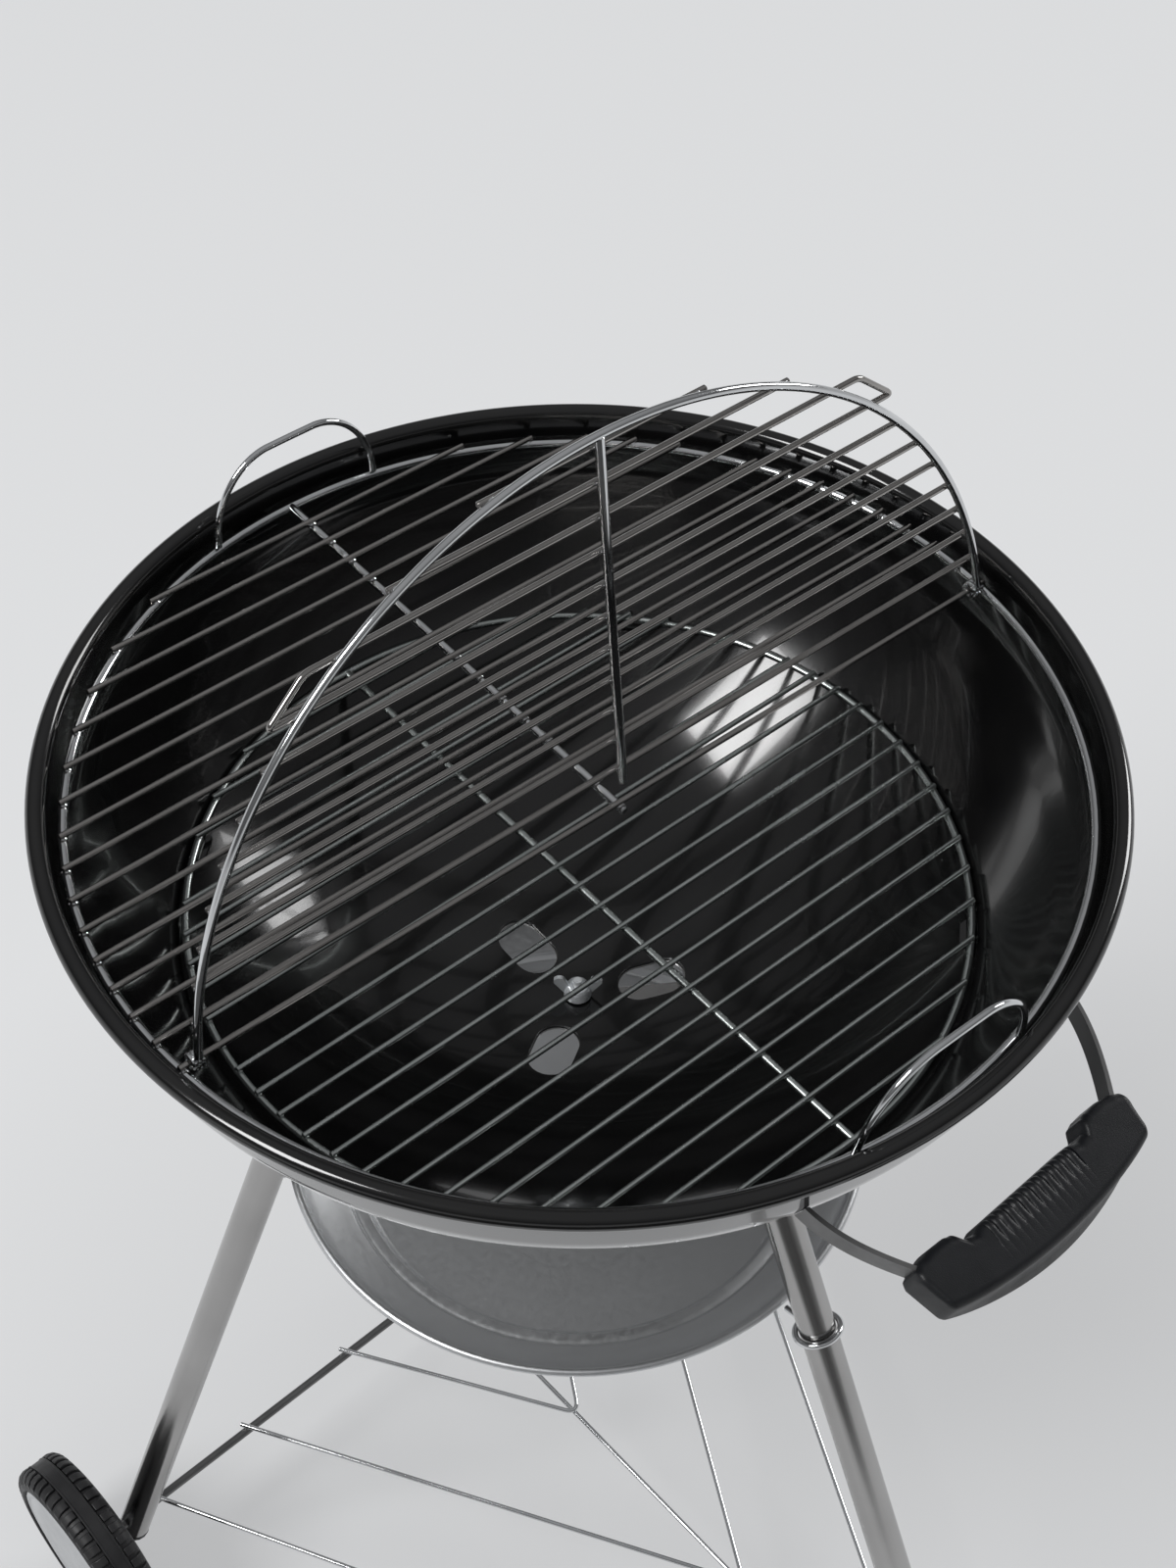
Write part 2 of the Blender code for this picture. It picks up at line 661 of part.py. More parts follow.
def make_wheel(name, side):
    """Moulded wheel, hub disc and spacer; the wheel's origin is on the axle."""
    lay = Matrix.Rotation(side * math.pi / 2, 4, "Y")
    seat = (side * WHEEL_INNER, AXLE_Y, AXLE_HEIGHT)
    bm = bmesh.new()
    add_lathe(bm, wheel_outline(), 36)
    place(new_object("wheel_" + name, bm, black_plastic()), 0.0, seat, lay)
    face = WHEEL_WIDTH - 0.004 + GAP
    bm = bmesh.new()
    add_lathe(bm, [(0.0, face), (0.0605, face), (0.0605, face + 0.0022), (0.045, face + 0.0046),
                   (0.0, face + 0.0056)], 24)
    place(new_object("hub_disc_" + name, bm, cap_plastic()), 0.0, seat, lay)
    start = -(WHEEL_INNER - 0.3035)
    bm = bmesh.new()
    add_lathe(bm, [(AXLE_RADIUS + GAP, start), (0.006, start), (0.006, -0.002 - GAP),
                   (AXLE_RADIUS + GAP, -0.002 - GAP)], 16)
    place(new_object("axle_spacer_" + name, bm, strip_metal()), 0.0, seat, lay)


def rack_vee(foot, apex, bend):
    """One V-shaped wire: over the axle, round the apex and back."""
    height = AXLE_HEIGHT + AXLE_RADIUS + GAP + RACK_WIRE
    run = Vector((foot, AXLE_Y - apex, 0)).normalized()
    tail = Vector((foot, AXLE_Y, height)) + run * 0.006
    knee = Vector((0, apex, height)) + run * bend
    mirror = Vector((-1, 1, 1))
    path = [tail, knee]
    low = Vector((0, apex, height))
    other = knee * mirror
    for amount in (0.25, 0.5, 0.75):
        path.append(knee * (1 - amount) ** 2 + low * 2 * amount * (1 - amount) + other * amount ** 2)
    return path + [other, tail * mirror]


def make_rack():
    """Wire rack between the legs: three nested Vs lying on a spine."""
    names = ("rack_wire_inner", "rack_wire_middle", "rack_wire_outer")
    for name, foot, apex, bend in zip(names, RACK_FEET, RACK_APEX, RACK_BENDS):
        bm = bmesh.new()
        add_tube(bm, rack_vee(foot, apex, bend), RACK_WIRE)
        place(new_object(name, bm, plated()))
    end = -(FRONT_LEG_TOP[0] + FRONT_LEG_SLOPE * (FRONT_LEG_TOP[1] - RACK_Z)) - 0.024
    spine = [Vector((0, AXLE_Y - 0.010, RACK_Z)), Vector((0, end, RACK_Z))]
    bm = bmesh.new()
    add_tube(bm, spine, RACK_WIRE)
    place(new_object("rack_spine", bm, plated()))
    bm = bmesh.new()
    bore = RACK_WIRE + 3 * GAP
    add_lathe(bm, [(bore, 0.0), (0.0055, 0.0), (0.0055, 0.004), (bore, 0.004)], 6)
    tilt = Matrix.Rotation(math.pi / 2, 4, "X")
    place(new_object("rack_nut", bm, zinc()), 0.0, (0.0, end + 0.0065, RACK_Z), tilt)


# ---- side handle, drawn flat with +X across and +Y outwards, then tilted

def bezier(points, amount):
    """A point on a cubic curve through flat control points."""
    rest = 1 - amount
    weights = (rest ** 3, 3 * rest ** 2 * amount, 3 * rest * amount ** 2, amount ** 3)
    x = sum(w * p[0] for w, p in zip(weights, points))
    y = sum(w * p[1] for w, p in zip(weights, points))
    return x, y


def strip_path(side):
    """Plan route of one handle arm, from inside the bowl to inside the grip."""
    controls = ((0.0940, -0.0560), (0.0935, -0.0330), (0.0825, -0.0130), (0.0655, 0.0115))
    path = [bezier(controls, step / 10) for step in range(11)]
    return [(side * x, y) for x, y in path]


def strip_outline(path, thick):
    """Outline of a flat strip of a thickness along a plan route."""
    left, right = [], []
    for index, (x, y) in enumerate(path):
        before = path[max(index - 1, 0)]
        after = path[min(index + 1, len(path) - 1)]
        run = Vector((after[0] - before[0], after[1] - before[1])).normalized()
        left.append((x - run.y * thick / 2, y + run.x * thick / 2))
        right.append((x + run.y * thick / 2, y - run.x * thick / 2))
    return left + list(reversed(right))


def handle_place(item):
    """Stand a handle piece at the front of the bowl, sloping down outwards."""
    spin = Matrix.Rotation(math.pi + HANDLE_TURN, 4, "Z")
    reach = Matrix.Translation((0.0, HANDLE_REACH, HANDLE_HEIGHT))
    item.matrix_world = Matrix.Translation(BOWL) @ spin @ reach @ Matrix.Rotation(-HANDLE_TILT, 4, "X")
    return item


def grip_outline(inset, flare):
    """Plan outline of the grip, drawn in by an inset; flare bows its outer side."""
    outer = []
    for step in range(11):
        x = (GRIP_HALF - 0.0030) * (1 - step / 5)
        bow = GRIP_OUTER - x * x / (2 * GRIP_SWEEP) + flare * math.cos(math.pi * x / (2 * GRIP_HALF))
        outer.append((x * (1 - inset / 0.08), bow - inset))
    side = [(-GRIP_HALF + inset, 0.0200), (-GRIP_HALF + inset, 0.0070), (-0.0730 + inset, 0.0040 + inset),
            (-0.0670, 0.0014 + inset), (-0.0560, 0.0006 + inset), (-0.0490, 0.0016 + inset),
            (-0.0460, 0.0040 + inset), (-0.0430, 0.0074 + inset), (-0.0380, 0.0085 + inset)]
    return outer + side + [(-x, y) for x, y in reversed(side)]


def add_grip(bm):
    """Loft the grip's outline with rounded upper and lower edges."""
    half = GRIP_TALL / 2
    layers = ((-half, 0.0020, GRIP_FLARE), (0.0018 - half, 0.0, GRIP_FLARE), (-0.002, 0.0, GRIP_FLARE / 3),
              (half - 0.005, 0.0, 0.0), (half - 0.0015, 0.0016, 0.0), (half, 0.0045, 0.0))
    rings = []
    for height, inset, flare in layers:
        rings.append([bm.verts.new((x, y, height)) for x, y in grip_outline(inset, flare)])
    for near, far in zip(rings, rings[1:]):
        for index in range(len(near)):
            other = (index + 1) % len(near)
            bm.faces.new((near[index], near[other], far[other], far[index]))
    bm.faces.new(list(reversed(rings[0])))
    bm.faces.new(rings[-1])


def make_handle():
    """Bent steel arms and a moulded grip."""
    half = STRIP_TALL / 2
    bm = bmesh.new()
    add_grip(bm)
    grip = new_object("handle_grip", bm, black_plastic())
    for name, side in (("left", 1), ("right", -1)):
        route = strip_path(side)
        socket = strip_outline(route[-4:], STRIP_THICK + 2 * GAP)
        socket = tool_from(add_prism, socket, -half - GAP, half + GAP)
        boolean(grip, socket, "DIFFERENCE")
        bm = bmesh.new()
        add_prism(bm, strip_outline(route[:-1], STRIP_THICK), -half, half)
        arm = handle_place(new_object("handle_arm_" + name, bm, strip_metal()))
        boolean(arm, place(bowl_block(GAP)), "DIFFERENCE")
    handle_place(grip)


def build():
    """Make every part of the grill."""
    clear_scene()
    make_bowl()
    make_brackets()
    make_damper()
    make_cooking_grate()
    make_lift_handles()
    make_flap()
    make_charcoal_grate()
    make_ash_pan()
    for name in ("front", "left", "right"):
        make_leg(name)
        make_leg_end(name)
        make_pan_clip(name)
    make_axle()
    make_wheel("left", -1)
    make_wheel("right", 1)
    make_rack()
    make_handle()


build()
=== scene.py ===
"""Kettle charcoal grill: detailed visual model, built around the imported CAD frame."""
import math
import bpy
import bmesh
from mathutils import Matrix, Vector


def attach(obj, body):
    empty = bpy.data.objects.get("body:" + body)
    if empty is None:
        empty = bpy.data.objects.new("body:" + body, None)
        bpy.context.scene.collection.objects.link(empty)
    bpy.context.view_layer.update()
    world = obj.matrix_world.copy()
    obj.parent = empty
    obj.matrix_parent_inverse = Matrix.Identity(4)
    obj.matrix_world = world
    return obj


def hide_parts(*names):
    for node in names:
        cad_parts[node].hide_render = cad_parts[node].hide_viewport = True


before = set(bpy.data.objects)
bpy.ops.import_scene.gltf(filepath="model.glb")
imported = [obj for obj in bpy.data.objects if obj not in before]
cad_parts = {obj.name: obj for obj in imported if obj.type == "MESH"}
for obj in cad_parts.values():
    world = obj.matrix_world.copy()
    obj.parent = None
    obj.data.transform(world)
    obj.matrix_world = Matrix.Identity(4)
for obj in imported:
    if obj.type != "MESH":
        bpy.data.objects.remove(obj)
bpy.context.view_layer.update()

# ---- dimensions repeated from the CAD source, metres, heights from the rod plane
AXIS_Y = 0.0805
GRATE_HEIGHT = 0.790
BOWL = Vector((0.0, AXIS_Y, GRATE_HEIGHT))
GRATE_TURN = math.radians(-3.0)
CHARCOAL_TURN = math.radians(-2.0)
GAP = 0.0003
RIM_RADIUS, RIM_BEAD, RIM_HEIGHT = 0.2797, 0.0052, 0.0095
WALL = 0.002
BOWL_BOTTOM, BODY_SPHERE = -0.200, 0.300
LEDGE_RADIUS, COLLAR_RADIUS, COLLAR_TOP, COLLAR_DROP = 0.2665, 0.2718, 0.2775, 0.026
VENT_RADIUS, VENT_LENGTH, VENT_WIDTH = 0.0443, 0.040, 0.026
VENT_ANGLES = (90.0, -30.0, -150.0)
DAMPER_RADIUS = 0.072
RING_RADIUS, RING_WIRE, ROD_WIRE, BAR_WIRE = 0.268, 0.0028, 0.00175, 0.0025
WELD = 0.0004
ROD_REACH, ROD_PITCH, HINGE_V, FIXED_RODS = 0.0016, 0.0199, -0.0322, 15
LIFT_WIRE, LIFT_HALF_SPAN, LIFT_RISE, LIFT_LEAN = 0.002, 0.054, 0.0535, 0.0045
LIFT_FLAT, LIFT_SHIFT = 0.014, 0.0015
NUT_TURN = math.radians(-42.0)
FLAP_ANGLE = math.radians(96.5)
FLAP_RADIUS, FLAP_WIRE, FLAP_RODS, FLAP_FIRST, FLAP_PITCH = 0.2605, 0.0023, 11, 0.0243, 0.0197
EYE_WIRE, LOOP_REACH = 0.0014, 0.2705
CHAR_RADIUS, CHAR_HEIGHT, CHAR_PITCH = 0.2165, -0.0950, 0.0183
CHAR_RING_WIRE, CHAR_ROD_WIRE, CHAR_BAR_WIRE = 0.0022, 0.0016, 0.0023
PAN_RADIUS, PAN_HEIGHT, PAN_BEAD = 0.181, -0.3195, 0.0026
PAN_STEP, PAN_STEP_HEIGHT, PAN_WALL, CLIP_WIRE, CLIP_RISE = 0.141, -0.344, 0.0015, 0.002, 0.008
LEG_RADIUS = 0.011
SIDE_LEG_TOP, SIDE_LEG_SLOPE, SIDE_LEG_ANGLE = (0.146, -0.163), 0.3255, 27.4
FRONT_LEG_TOP, FRONT_LEG_SLOPE = (0.1402, -0.166), 0.4694
AXLE_Y, AXLE_RADIUS = 0.150, 0.003
WHEEL_RADIUS, WHEEL_WIDTH, WHEEL_INNER = 0.0745, 0.034, 0.311
AXLE_HEIGHT = WHEEL_RADIUS - GRATE_HEIGHT
RACK_WIRE = 0.00175
RACK_Z = AXLE_HEIGHT + AXLE_RADIUS - RACK_WIRE
RACKS = (("inner", 0.097, -0.007, 0.012), ("middle", 0.190, -0.182, 0.012),
         ("outer", 0.2725, -0.370, 0.026))
HANDLE_TURN = math.radians(0.5)
HANDLE_TILT, HANDLE_REACH, HANDLE_HEIGHT = math.radians(19.0), 0.300, -0.047
STRIP_TALL, STRIP_THICK = 0.013, 0.0024
GRIP_TALL, GRIP_SWEEP, GRIP_OUTER, GRIP_FLARE = 0.022, 0.300, 0.038, 0.0055
GRIP_HALF = 0.0755
ARM_ROUTE = ((0.0940, -0.0560), (0.0935, -0.0330), (0.0825, -0.0130), (0.0655, 0.0115))
DAMPER_WALL, LEVER_THICK, BOLT_RADIUS, BOLT_HOLE = 0.0014, 0.002, 0.003, 0.0036
SOCKET_WALL = 0.0024
SPACER_RADIUS, SPACER_INNER = 0.006, 0.3035
SHARP_ANGLE = math.radians(35.0)


# ---- materials

class Surface:
    """A Principled material whose colour, roughness and bump come from noise."""

    def __init__(self, name, metallic=0.0, **sockets):
        self.mat = bpy.data.materials.new(name)
        self.mat.use_nodes = True
        self.tree = self.mat.node_tree
        self.shader = self.tree.nodes["Principled BSDF"]
        self.shader.inputs["Metallic"].default_value = metallic
        for socket, value in sockets.items():
            self.shader.inputs[socket.replace("_", " ")].default_value = value
        self.coords = self.tree.nodes.new("ShaderNodeTexCoord").outputs["Object"]
        self.normal = None

    def add(self, kind, **values):
        node = self.tree.nodes.new(kind)
        for socket, value in values.items():
            node.inputs[socket.replace("_", " ")].default_value = value
        return node

    def link(self, source, target):
        self.tree.links.new(source, target)

    def stretched(self, scale):
        """Object coordinates scaled along each axis."""
        node = self.add("ShaderNodeMapping", Scale=scale)
        self.link(self.coords, node.inputs["Vector"])
        return node.outputs["Vector"]

    def noise(self, scale, detail=3.0, coords=None, roughness=0.5):
        node = self.add("ShaderNodeTexNoise", Scale=scale, Detail=detail, Roughness=roughness)
        self.link(coords or self.coords, node.inputs["Vector"])
        return node.outputs["Fac"]

    def ramp(self, factor, stops):
        """Colour ramp; each stop is (position, grey or rgb)."""
        node = self.add("ShaderNodeValToRGB")
        while len(node.color_ramp.elements) < len(stops):
            node.color_ramp.elements.new(0.5)
        for element, (position, color) in zip(node.color_ramp.elements, stops):
            element.position = position
            rgb = color if isinstance(color, tuple) else (color, color, color)
            element.color = (*rgb, 1.0)
        self.link(factor, node.inputs["Fac"])
        return node.outputs["Color"]

    def color(self, factor, stops):
        self.link(self.ramp(factor, stops), self.shader.inputs["Base Color"])
        return self

    def rough(self, factor, stops):
        self.link(self.ramp(factor, stops), self.shader.inputs["Roughness"])
        return self

    def bump(self, height, strength, distance):
        node = self.add("ShaderNodeBump", Strength=strength, Distance=distance)
        self.link(height, node.inputs["Height"])
        if self.normal is not None:
            self.link(self.normal, node.inputs["Normal"])
        self.normal = node.outputs["Normal"]
        self.link(self.normal, self.shader.inputs["Normal"])
        return self


def make_enamel(name, specular, coat):
    """Glossy black enamel with a faint orange-peel surface."""
    s = Surface(name, Specular_IOR_Level=specular, Coat_Weight=coat, Coat_Roughness=0.03)
    s.color(s.noise(35.0, 4.0), [(0.35, (0.0032, 0.0032, 0.0034)), (0.7, (0.0050, 0.0049, 0.0048))])
    s.rough(s.noise(14.0, 5.0), [(0.3, 0.10), (0.7, 0.15)])
    s.bump(s.noise(40.0, 1.0), 0.10, 0.00020)
    return s.bump(s.noise(1100.0, 1.0), 0.10, 0.00003).mat


def make_wire(name, dark, bright, low, high, metallic=1.0):
    """Drawn wire: an even finish with slight changes of tone along it."""
    s = Surface(name, metallic=metallic)
    s.color(s.noise(30.0, 2.0), [(0.3, dark), (0.7, bright)])
    s.rough(s.noise(45.0, 2.0), [(0.3, low), (0.7, high)])
    return s.bump(s.noise(1500.0, 1.0), 0.04, 0.00001).mat


def make_pan_metal():
    """Plated sheet with a fine even grain."""
    s = Surface("pan_metal", metallic=1.0)
    s.color(s.noise(9.0, 3.0), [(0.3, (0.56, 0.57, 0.58)), (0.7, (0.62, 0.63, 0.64))])
    s.rough(s.noise(300.0, 3.0), [(0.3, 0.36), (0.7, 0.44)])
    return s.bump(s.noise(1500.0, 2.0), 0.20, 0.00003).mat


def make_leg_metal():
    """Bright tube with fine streaks along it."""
    s = Surface("leg_metal", metallic=1.0)
    streaks = s.noise(1.0, 3.0, s.stretched((700.0, 700.0, 6.0)))
    s.color(s.noise(12.0, 3.0), [(0.3, (0.36, 0.355, 0.35)), (0.7, (0.41, 0.405, 0.40))])
    s.rough(streaks, [(0.3, 0.17), (0.7, 0.23)])
    return s.bump(streaks, 0.08, 0.00002).mat


def make_strip_metal():
    """Dull bent steel strip."""
    s = Surface("strip_metal", metallic=1.0)
    s.color(s.noise(40.0, 4.0), [(0.3, (0.15, 0.15, 0.15)), (0.7, (0.18, 0.18, 0.18))])
    s.rough(s.noise(160.0, 4.0), [(0.3, 0.36), (0.7, 0.48)])
    return s.bump(s.noise(1200.0, 2.0), 0.25, 0.00004).mat


def make_grip_plastic():
    """Black moulded plastic with a pebbled grain."""
    s = Surface("grip_plastic", Specular_IOR_Level=0.36)
    s.color(s.noise(30.0, 4.0), [(0.3, (0.0052, 0.0058, 0.0072)), (0.7, (0.0075, 0.0082, 0.0100))])
    s.rough(s.noise(120.0, 4.0), [(0.3, 0.40), (0.7, 0.48)])
    cells = s.add("ShaderNodeTexVoronoi", Scale=1500.0)
    s.link(s.coords, cells.inputs["Vector"])
    return s.bump(cells.outputs["Distance"], 0.45, 0.00012).mat


def make_wheel_plastic():
    """Matt black wheel moulding."""
    s = Surface("wheel_plastic", Specular_IOR_Level=0.4)
    s.color(s.noise(45.0, 5.0), [(0.3, (0.010, 0.010, 0.011)), (0.7, (0.017, 0.017, 0.018))])
    s.rough(s.noise(90.0, 4.0), [(0.3, 0.42), (0.7, 0.58)])
    return s.bump(s.noise(900.0, 3.0), 0.35, 0.00008).mat


def make_hub_plastic():
    """Pale grey hub disc."""
    s = Surface("hub_plastic", Specular_IOR_Level=0.45)
    s.color(s.noise(30.0, 3.0), [(0.3, (0.40, 0.41, 0.42)), (0.7, (0.47, 0.48, 0.49))])
    s.rough(s.noise(80.0, 3.0), [(0.3, 0.38), (0.7, 0.50)])
    return s.bump(s.noise(1000.0, 2.0), 0.20, 0.00004).mat


# The same black enamel in two copies: the outside copy reflects more strongly and has a full coat, so the
# bowl's outside reads lighter than its inside; the difference is painted sheen, not a second finish.
ENAMEL = make_enamel("black_enamel", 0.5, 0.25)
ENAMEL_OUTSIDE_PAINTED_SHEEN = make_enamel("black_enamel_outside_painted_sheen", 1.0, 1.0)
PLATED = make_wire("plated_wire", (0.60, 0.61, 0.62), (0.68, 0.69, 0.70), 0.07, 0.11)
ROD = make_wire("plated_rod", (0.31, 0.298, 0.286), (0.37, 0.357, 0.344), 0.11, 0.15)
NUT = make_wire("zinc_casting", (0.78, 0.82, 0.85), (0.90, 0.93, 0.95), 0.22, 0.30, 0.55)
ZINC = make_wire("zinc_wire", (0.42, 0.45, 0.44), (0.52, 0.55, 0.54), 0.22, 0.30)
PAN = make_pan_metal()
LEG = make_leg_metal()
STRIP = make_strip_metal()
GRIP = make_grip_plastic()
WHEEL = make_wheel_plastic()
HUB = make_hub_plastic()


# ---- mesh helpers

def in_bowl(turn=0.0, offset=(0.0, 0.0, 0.0), tilt=None):
    """Matrix from a piece's own axes to the world, through the bowl's frame."""
    matrix = Matrix.Translation(BOWL) @ Matrix.Rotation(turn, 4, "Z") @ Matrix.Translation(offset)
    return matrix @ tilt if tilt is not None else matrix


def mesh_object(name, bm, mat, smooth=35.0):
    """Turn a bmesh into a linked object with one material and smooth shading."""
    bmesh.ops.remove_doubles(bm, verts=bm.verts, dist=1e-7)
    bmesh.ops.recalc_face_normals(bm, faces=bm.faces)
    mesh = bpy.data.meshes.new(name)
    bm.to_mesh(mesh)
    bm.free()
    mesh.materials.append(mat)
    mesh.shade_smooth()
    mesh.set_sharp_from_angle(angle=math.radians(smooth))
    item = bpy.data.objects.new(name, mesh)
    bpy.context.collection.objects.link(item)
    return item


def piece(name, bm, mat, body, nodes=(), matrix=None, smooth=35.0, bevel=0.0):
    """A finished piece: its mesh, place, body, material slot and the nodes it stands for."""
    item = mesh_object(name, bm, mat, smooth)
    if matrix is not None:
        item.matrix_world = matrix
    return finish_piece(item, body, nodes, bevel)


def finish_piece(item, body, nodes=(), bevel=0.0):
    if bevel > 0.0:
        modifier = item.modifiers.new("Bevel", "BEVEL")
        modifier.width = bevel
        modifier.segments = 3
        modifier.limit_method = "ANGLE"
        modifier.angle_limit = SHARP_ANGLE
    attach(item, body)
    if nodes:
        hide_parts(*nodes)
    return item


def tube(bm, path, radius, sides=14, closed=False, chamfer=0.3):
    """Round wire along a path; open ends get a small chamfer."""
    count = len(path)
    normal = None
    rings = []

    def ring_at(point, size, tangent, normal):
        side = tangent.cross(normal)
        angles = [2 * math.pi * step / sides for step in range(sides)]
        return [bm.verts.new(point + (normal * math.cos(a) + side * math.sin(a)) * size) for a in angles]

    for index, point in enumerate(path):
        if closed:
            tangent = path[(index + 1) % count] - path[index - 1]
        else:
            tangent = path[min(index + 1, count - 1)] - path[max(index - 1, 0)]
        tangent = tangent.normalized()
        if normal is None:
            normal = Vector((0, 0, 1)) if abs(tangent.z) < 0.9 else Vector((0, 1, 0))
        normal = (normal - tangent * normal.dot(tangent)).normalized()
        first, last = not closed and index == 0, not closed and index == count - 1
        if first:
            rings.append(ring_at(point, radius * (1 - chamfer), tangent, normal))
            rings.append(ring_at(point + tangent * radius * chamfer, radius, tangent, normal))
        elif last:
            rings.append(ring_at(point - tangent * radius * chamfer, radius, tangent, normal))
            rings.append(ring_at(point, radius * (1 - chamfer), tangent, normal))
        else:
            rings.append(ring_at(point, radius, tangent, normal))
    spans = len(rings) if closed else len(rings) - 1
    for index in range(spans):
        near, far = rings[index], rings[(index + 1) % len(rings)]
        for step in range(sides):
            other = (step + 1) % sides
            bm.faces.new((near[step], near[other], far[other], far[step]))
    if not closed:
        bm.faces.new(list(reversed(rings[0])))
        bm.faces.new(rings[-1])


def lathe(bm, profile, segments=160):
    """Spin a closed (radius, height) outline about Z; radius 0 becomes a pole."""
    columns = []
    for radius, height in profile:
        if radius < 1e-9:
            columns.append([bm.verts.new((0, 0, height))])
            continue
        angles = [2 * math.pi * step / segments for step in range(segments)]
        columns.append([bm.verts.new((radius * math.cos(a), radius * math.sin(a), height)) for a in angles])
    for index, near in enumerate(columns):
        far = columns[(index + 1) % len(columns)]
        if len(near) == 1 and len(far) == 1:
            continue
        for step in range(segments):
            other = (step + 1) % segments
            if len(near) == 1:
                bm.faces.new((near[0], far[step], far[other]))
            elif len(far) == 1:
                bm.faces.new((near[step], far[0], near[other]))
            else:
                bm.faces.new((near[step], far[step], far[other], near[other]))


def prism(bm, outline, low, high):
    """Extrude a flat (x, y) outline between two heights."""
    bottom = [bm.verts.new((x, y, low)) for x, y in outline]
    top = [bm.verts.new((x, y, high)) for x, y in outline]
    bm.faces.new(list(reversed(bottom)))
    bm.faces.new(top)
    for index in range(len(outline)):
        other = (index + 1) % len(outline)
        bm.faces.new((bottom[index], bottom[other], top[other], top[index]))


def nugget(bm, center, wide, tall):
    """Small flattened weld bead where two wires cross."""
    start = len(bm.verts)
    slope = 0.7
    lathe(bm, [(0.0, -tall), (wide * slope, -tall * slope), (wide, 0.0), (wide * slope, tall * slope),
               (0.0, tall)], 8)
    bm.verts.ensure_lookup_table()
    for vert in bm.verts[start:]:
        vert.co += center


def arc(center, radius, start, stop, steps):
    """Points of a flat arc, degrees, both ends included."""
    points = []
    for step in range(steps + 1):
        angle = math.radians(start + (stop - start) * step / steps)
        points.append((center[0] + radius * math.cos(angle), center[1] + radius * math.sin(angle)))
    return points


def circle(radius, height, segments=144):
    """A level circle of points about the Z axis."""
    turns = [2 * math.pi * step / segments for step in range(segments)]
    return [Vector((radius * math.cos(a), radius * math.sin(a), height)) for a in turns]


def rounded(points, sizes, steps=5):
    """Replace the inner corners of an open outline by small curves of the given sizes."""
    path = [Vector(points[0])]
    for index in range(1, len(points) - 1):
        corner = Vector(points[index])
        size = sizes[index - 1]
        before = (Vector(points[index - 1]) - corner).normalized() * size
        after = (Vector(points[index + 1]) - corner).normalized() * size
        for step in range(steps + 1):
            t = step / steps
            path.append(corner + before * (1 - t) ** 2 + after * t ** 2)
    path.append(Vector(points[-1]))
    return path


def boolean(base, tool, operation="DIFFERENCE"):
    """Apply an exact Boolean with a tool object, which is used up."""
    modifier = base.modifiers.new("Boolean", "BOOLEAN")
    modifier.operation = operation
    modifier.solver = "EXACT"
    modifier.object = tool
    graph = bpy.context.evaluated_depsgraph_get()
    result = bpy.data.meshes.new_from_object(base.evaluated_get(graph))
    base.modifiers.clear()
    base.data = result
    bpy.data.objects.remove(tool, do_unlink=True)
    result.shade_smooth()
    result.set_sharp_from_angle(angle=SHARP_ANGLE)
    return base


# ---- camera, floor and studio lights

def look(item, target):
    """Turn a lamp to face a point."""
    item.rotation_euler = (target - item.location).to_track_quat("-Z", "Y").to_euler()


def make_camera():
    """Camera with the lens, place and directions of the picture."""
    data = bpy.data.cameras.new("camera")
    data.lens = 53.32
    data.sensor_width = 36.0
    camera = bpy.data.objects.new("camera", data)
    bpy.context.collection.objects.link(camera)
    forward = Vector((0.4568, 0.4918, -0.7413)).normalized()
    right = Vector((0.7407, -0.6718, 0.0107))
    right = (right - forward * right.dot(forward)).normalized()
    up = right.cross(forward)
    turn = Matrix((right, up, -forward)).transposed().to_4x4()
    camera.matrix_world = Matrix.Translation((-0.5564, -0.5245, 1.6838)) @ turn
    bpy.context.scene.camera = camera


def make_floor():
    """Pale self-lit floor with a painted shadow: it gives off less light under the grill."""
    bm = bmesh.new()
    bmesh.ops.create_grid(bm, x_segments=8, y_segments=8, size=30.0)
    s = Surface("studio_floor_painted_shadow", Roughness=0.9, Specular_IOR_Level=0.0)
    s.shader.inputs["Base Color"].default_value = (0.28, 0.283, 0.286, 1.0)
    # Painted shadow: the emission colour rises with distance from below the grill, so the floor is darker
    # near it.
    distance = s.add("ShaderNodeVectorMath")
    distance.operation = "LENGTH"
    s.link(s.coords, distance.inputs[0])
    glow_with_painted_shadow = s.ramp(distance.outputs["Value"], [(0.10, (0.355, 0.358, 0.363)), (0.75, (0.488, 0.493, 0.500))])
    s.link(glow_with_painted_shadow, s.shader.inputs["Emission Color"])
    s.shader.inputs["Emission Strength"].default_value = 1.0
    floor = mesh_object("floor", bm, s.mat)


def make_softbox(name, azimuth, elevation, distance, wide, tall, radiance):
    """Area light that sits in a direction from the bowl and faces it."""
    data = bpy.data.lights.new(name, "AREA")
    data.shape = "RECTANGLE"
    data.size = wide
    data.size_y = tall
    data.energy = radiance * math.pi * wide * tall
    lamp = bpy.data.objects.new(name, data)
    bpy.context.collection.objects.link(lamp)
    a, e = math.radians(azimuth), math.radians(elevation)
    center = BOWL + Vector((0, 0, -0.05))
    aim = Vector((math.cos(e) * math.cos(a), math.cos(e) * math.sin(a), math.sin(e)))
    lamp.location = center + aim * distance
    look(lamp, center)
    lamp.visible_camera = False
    return lamp


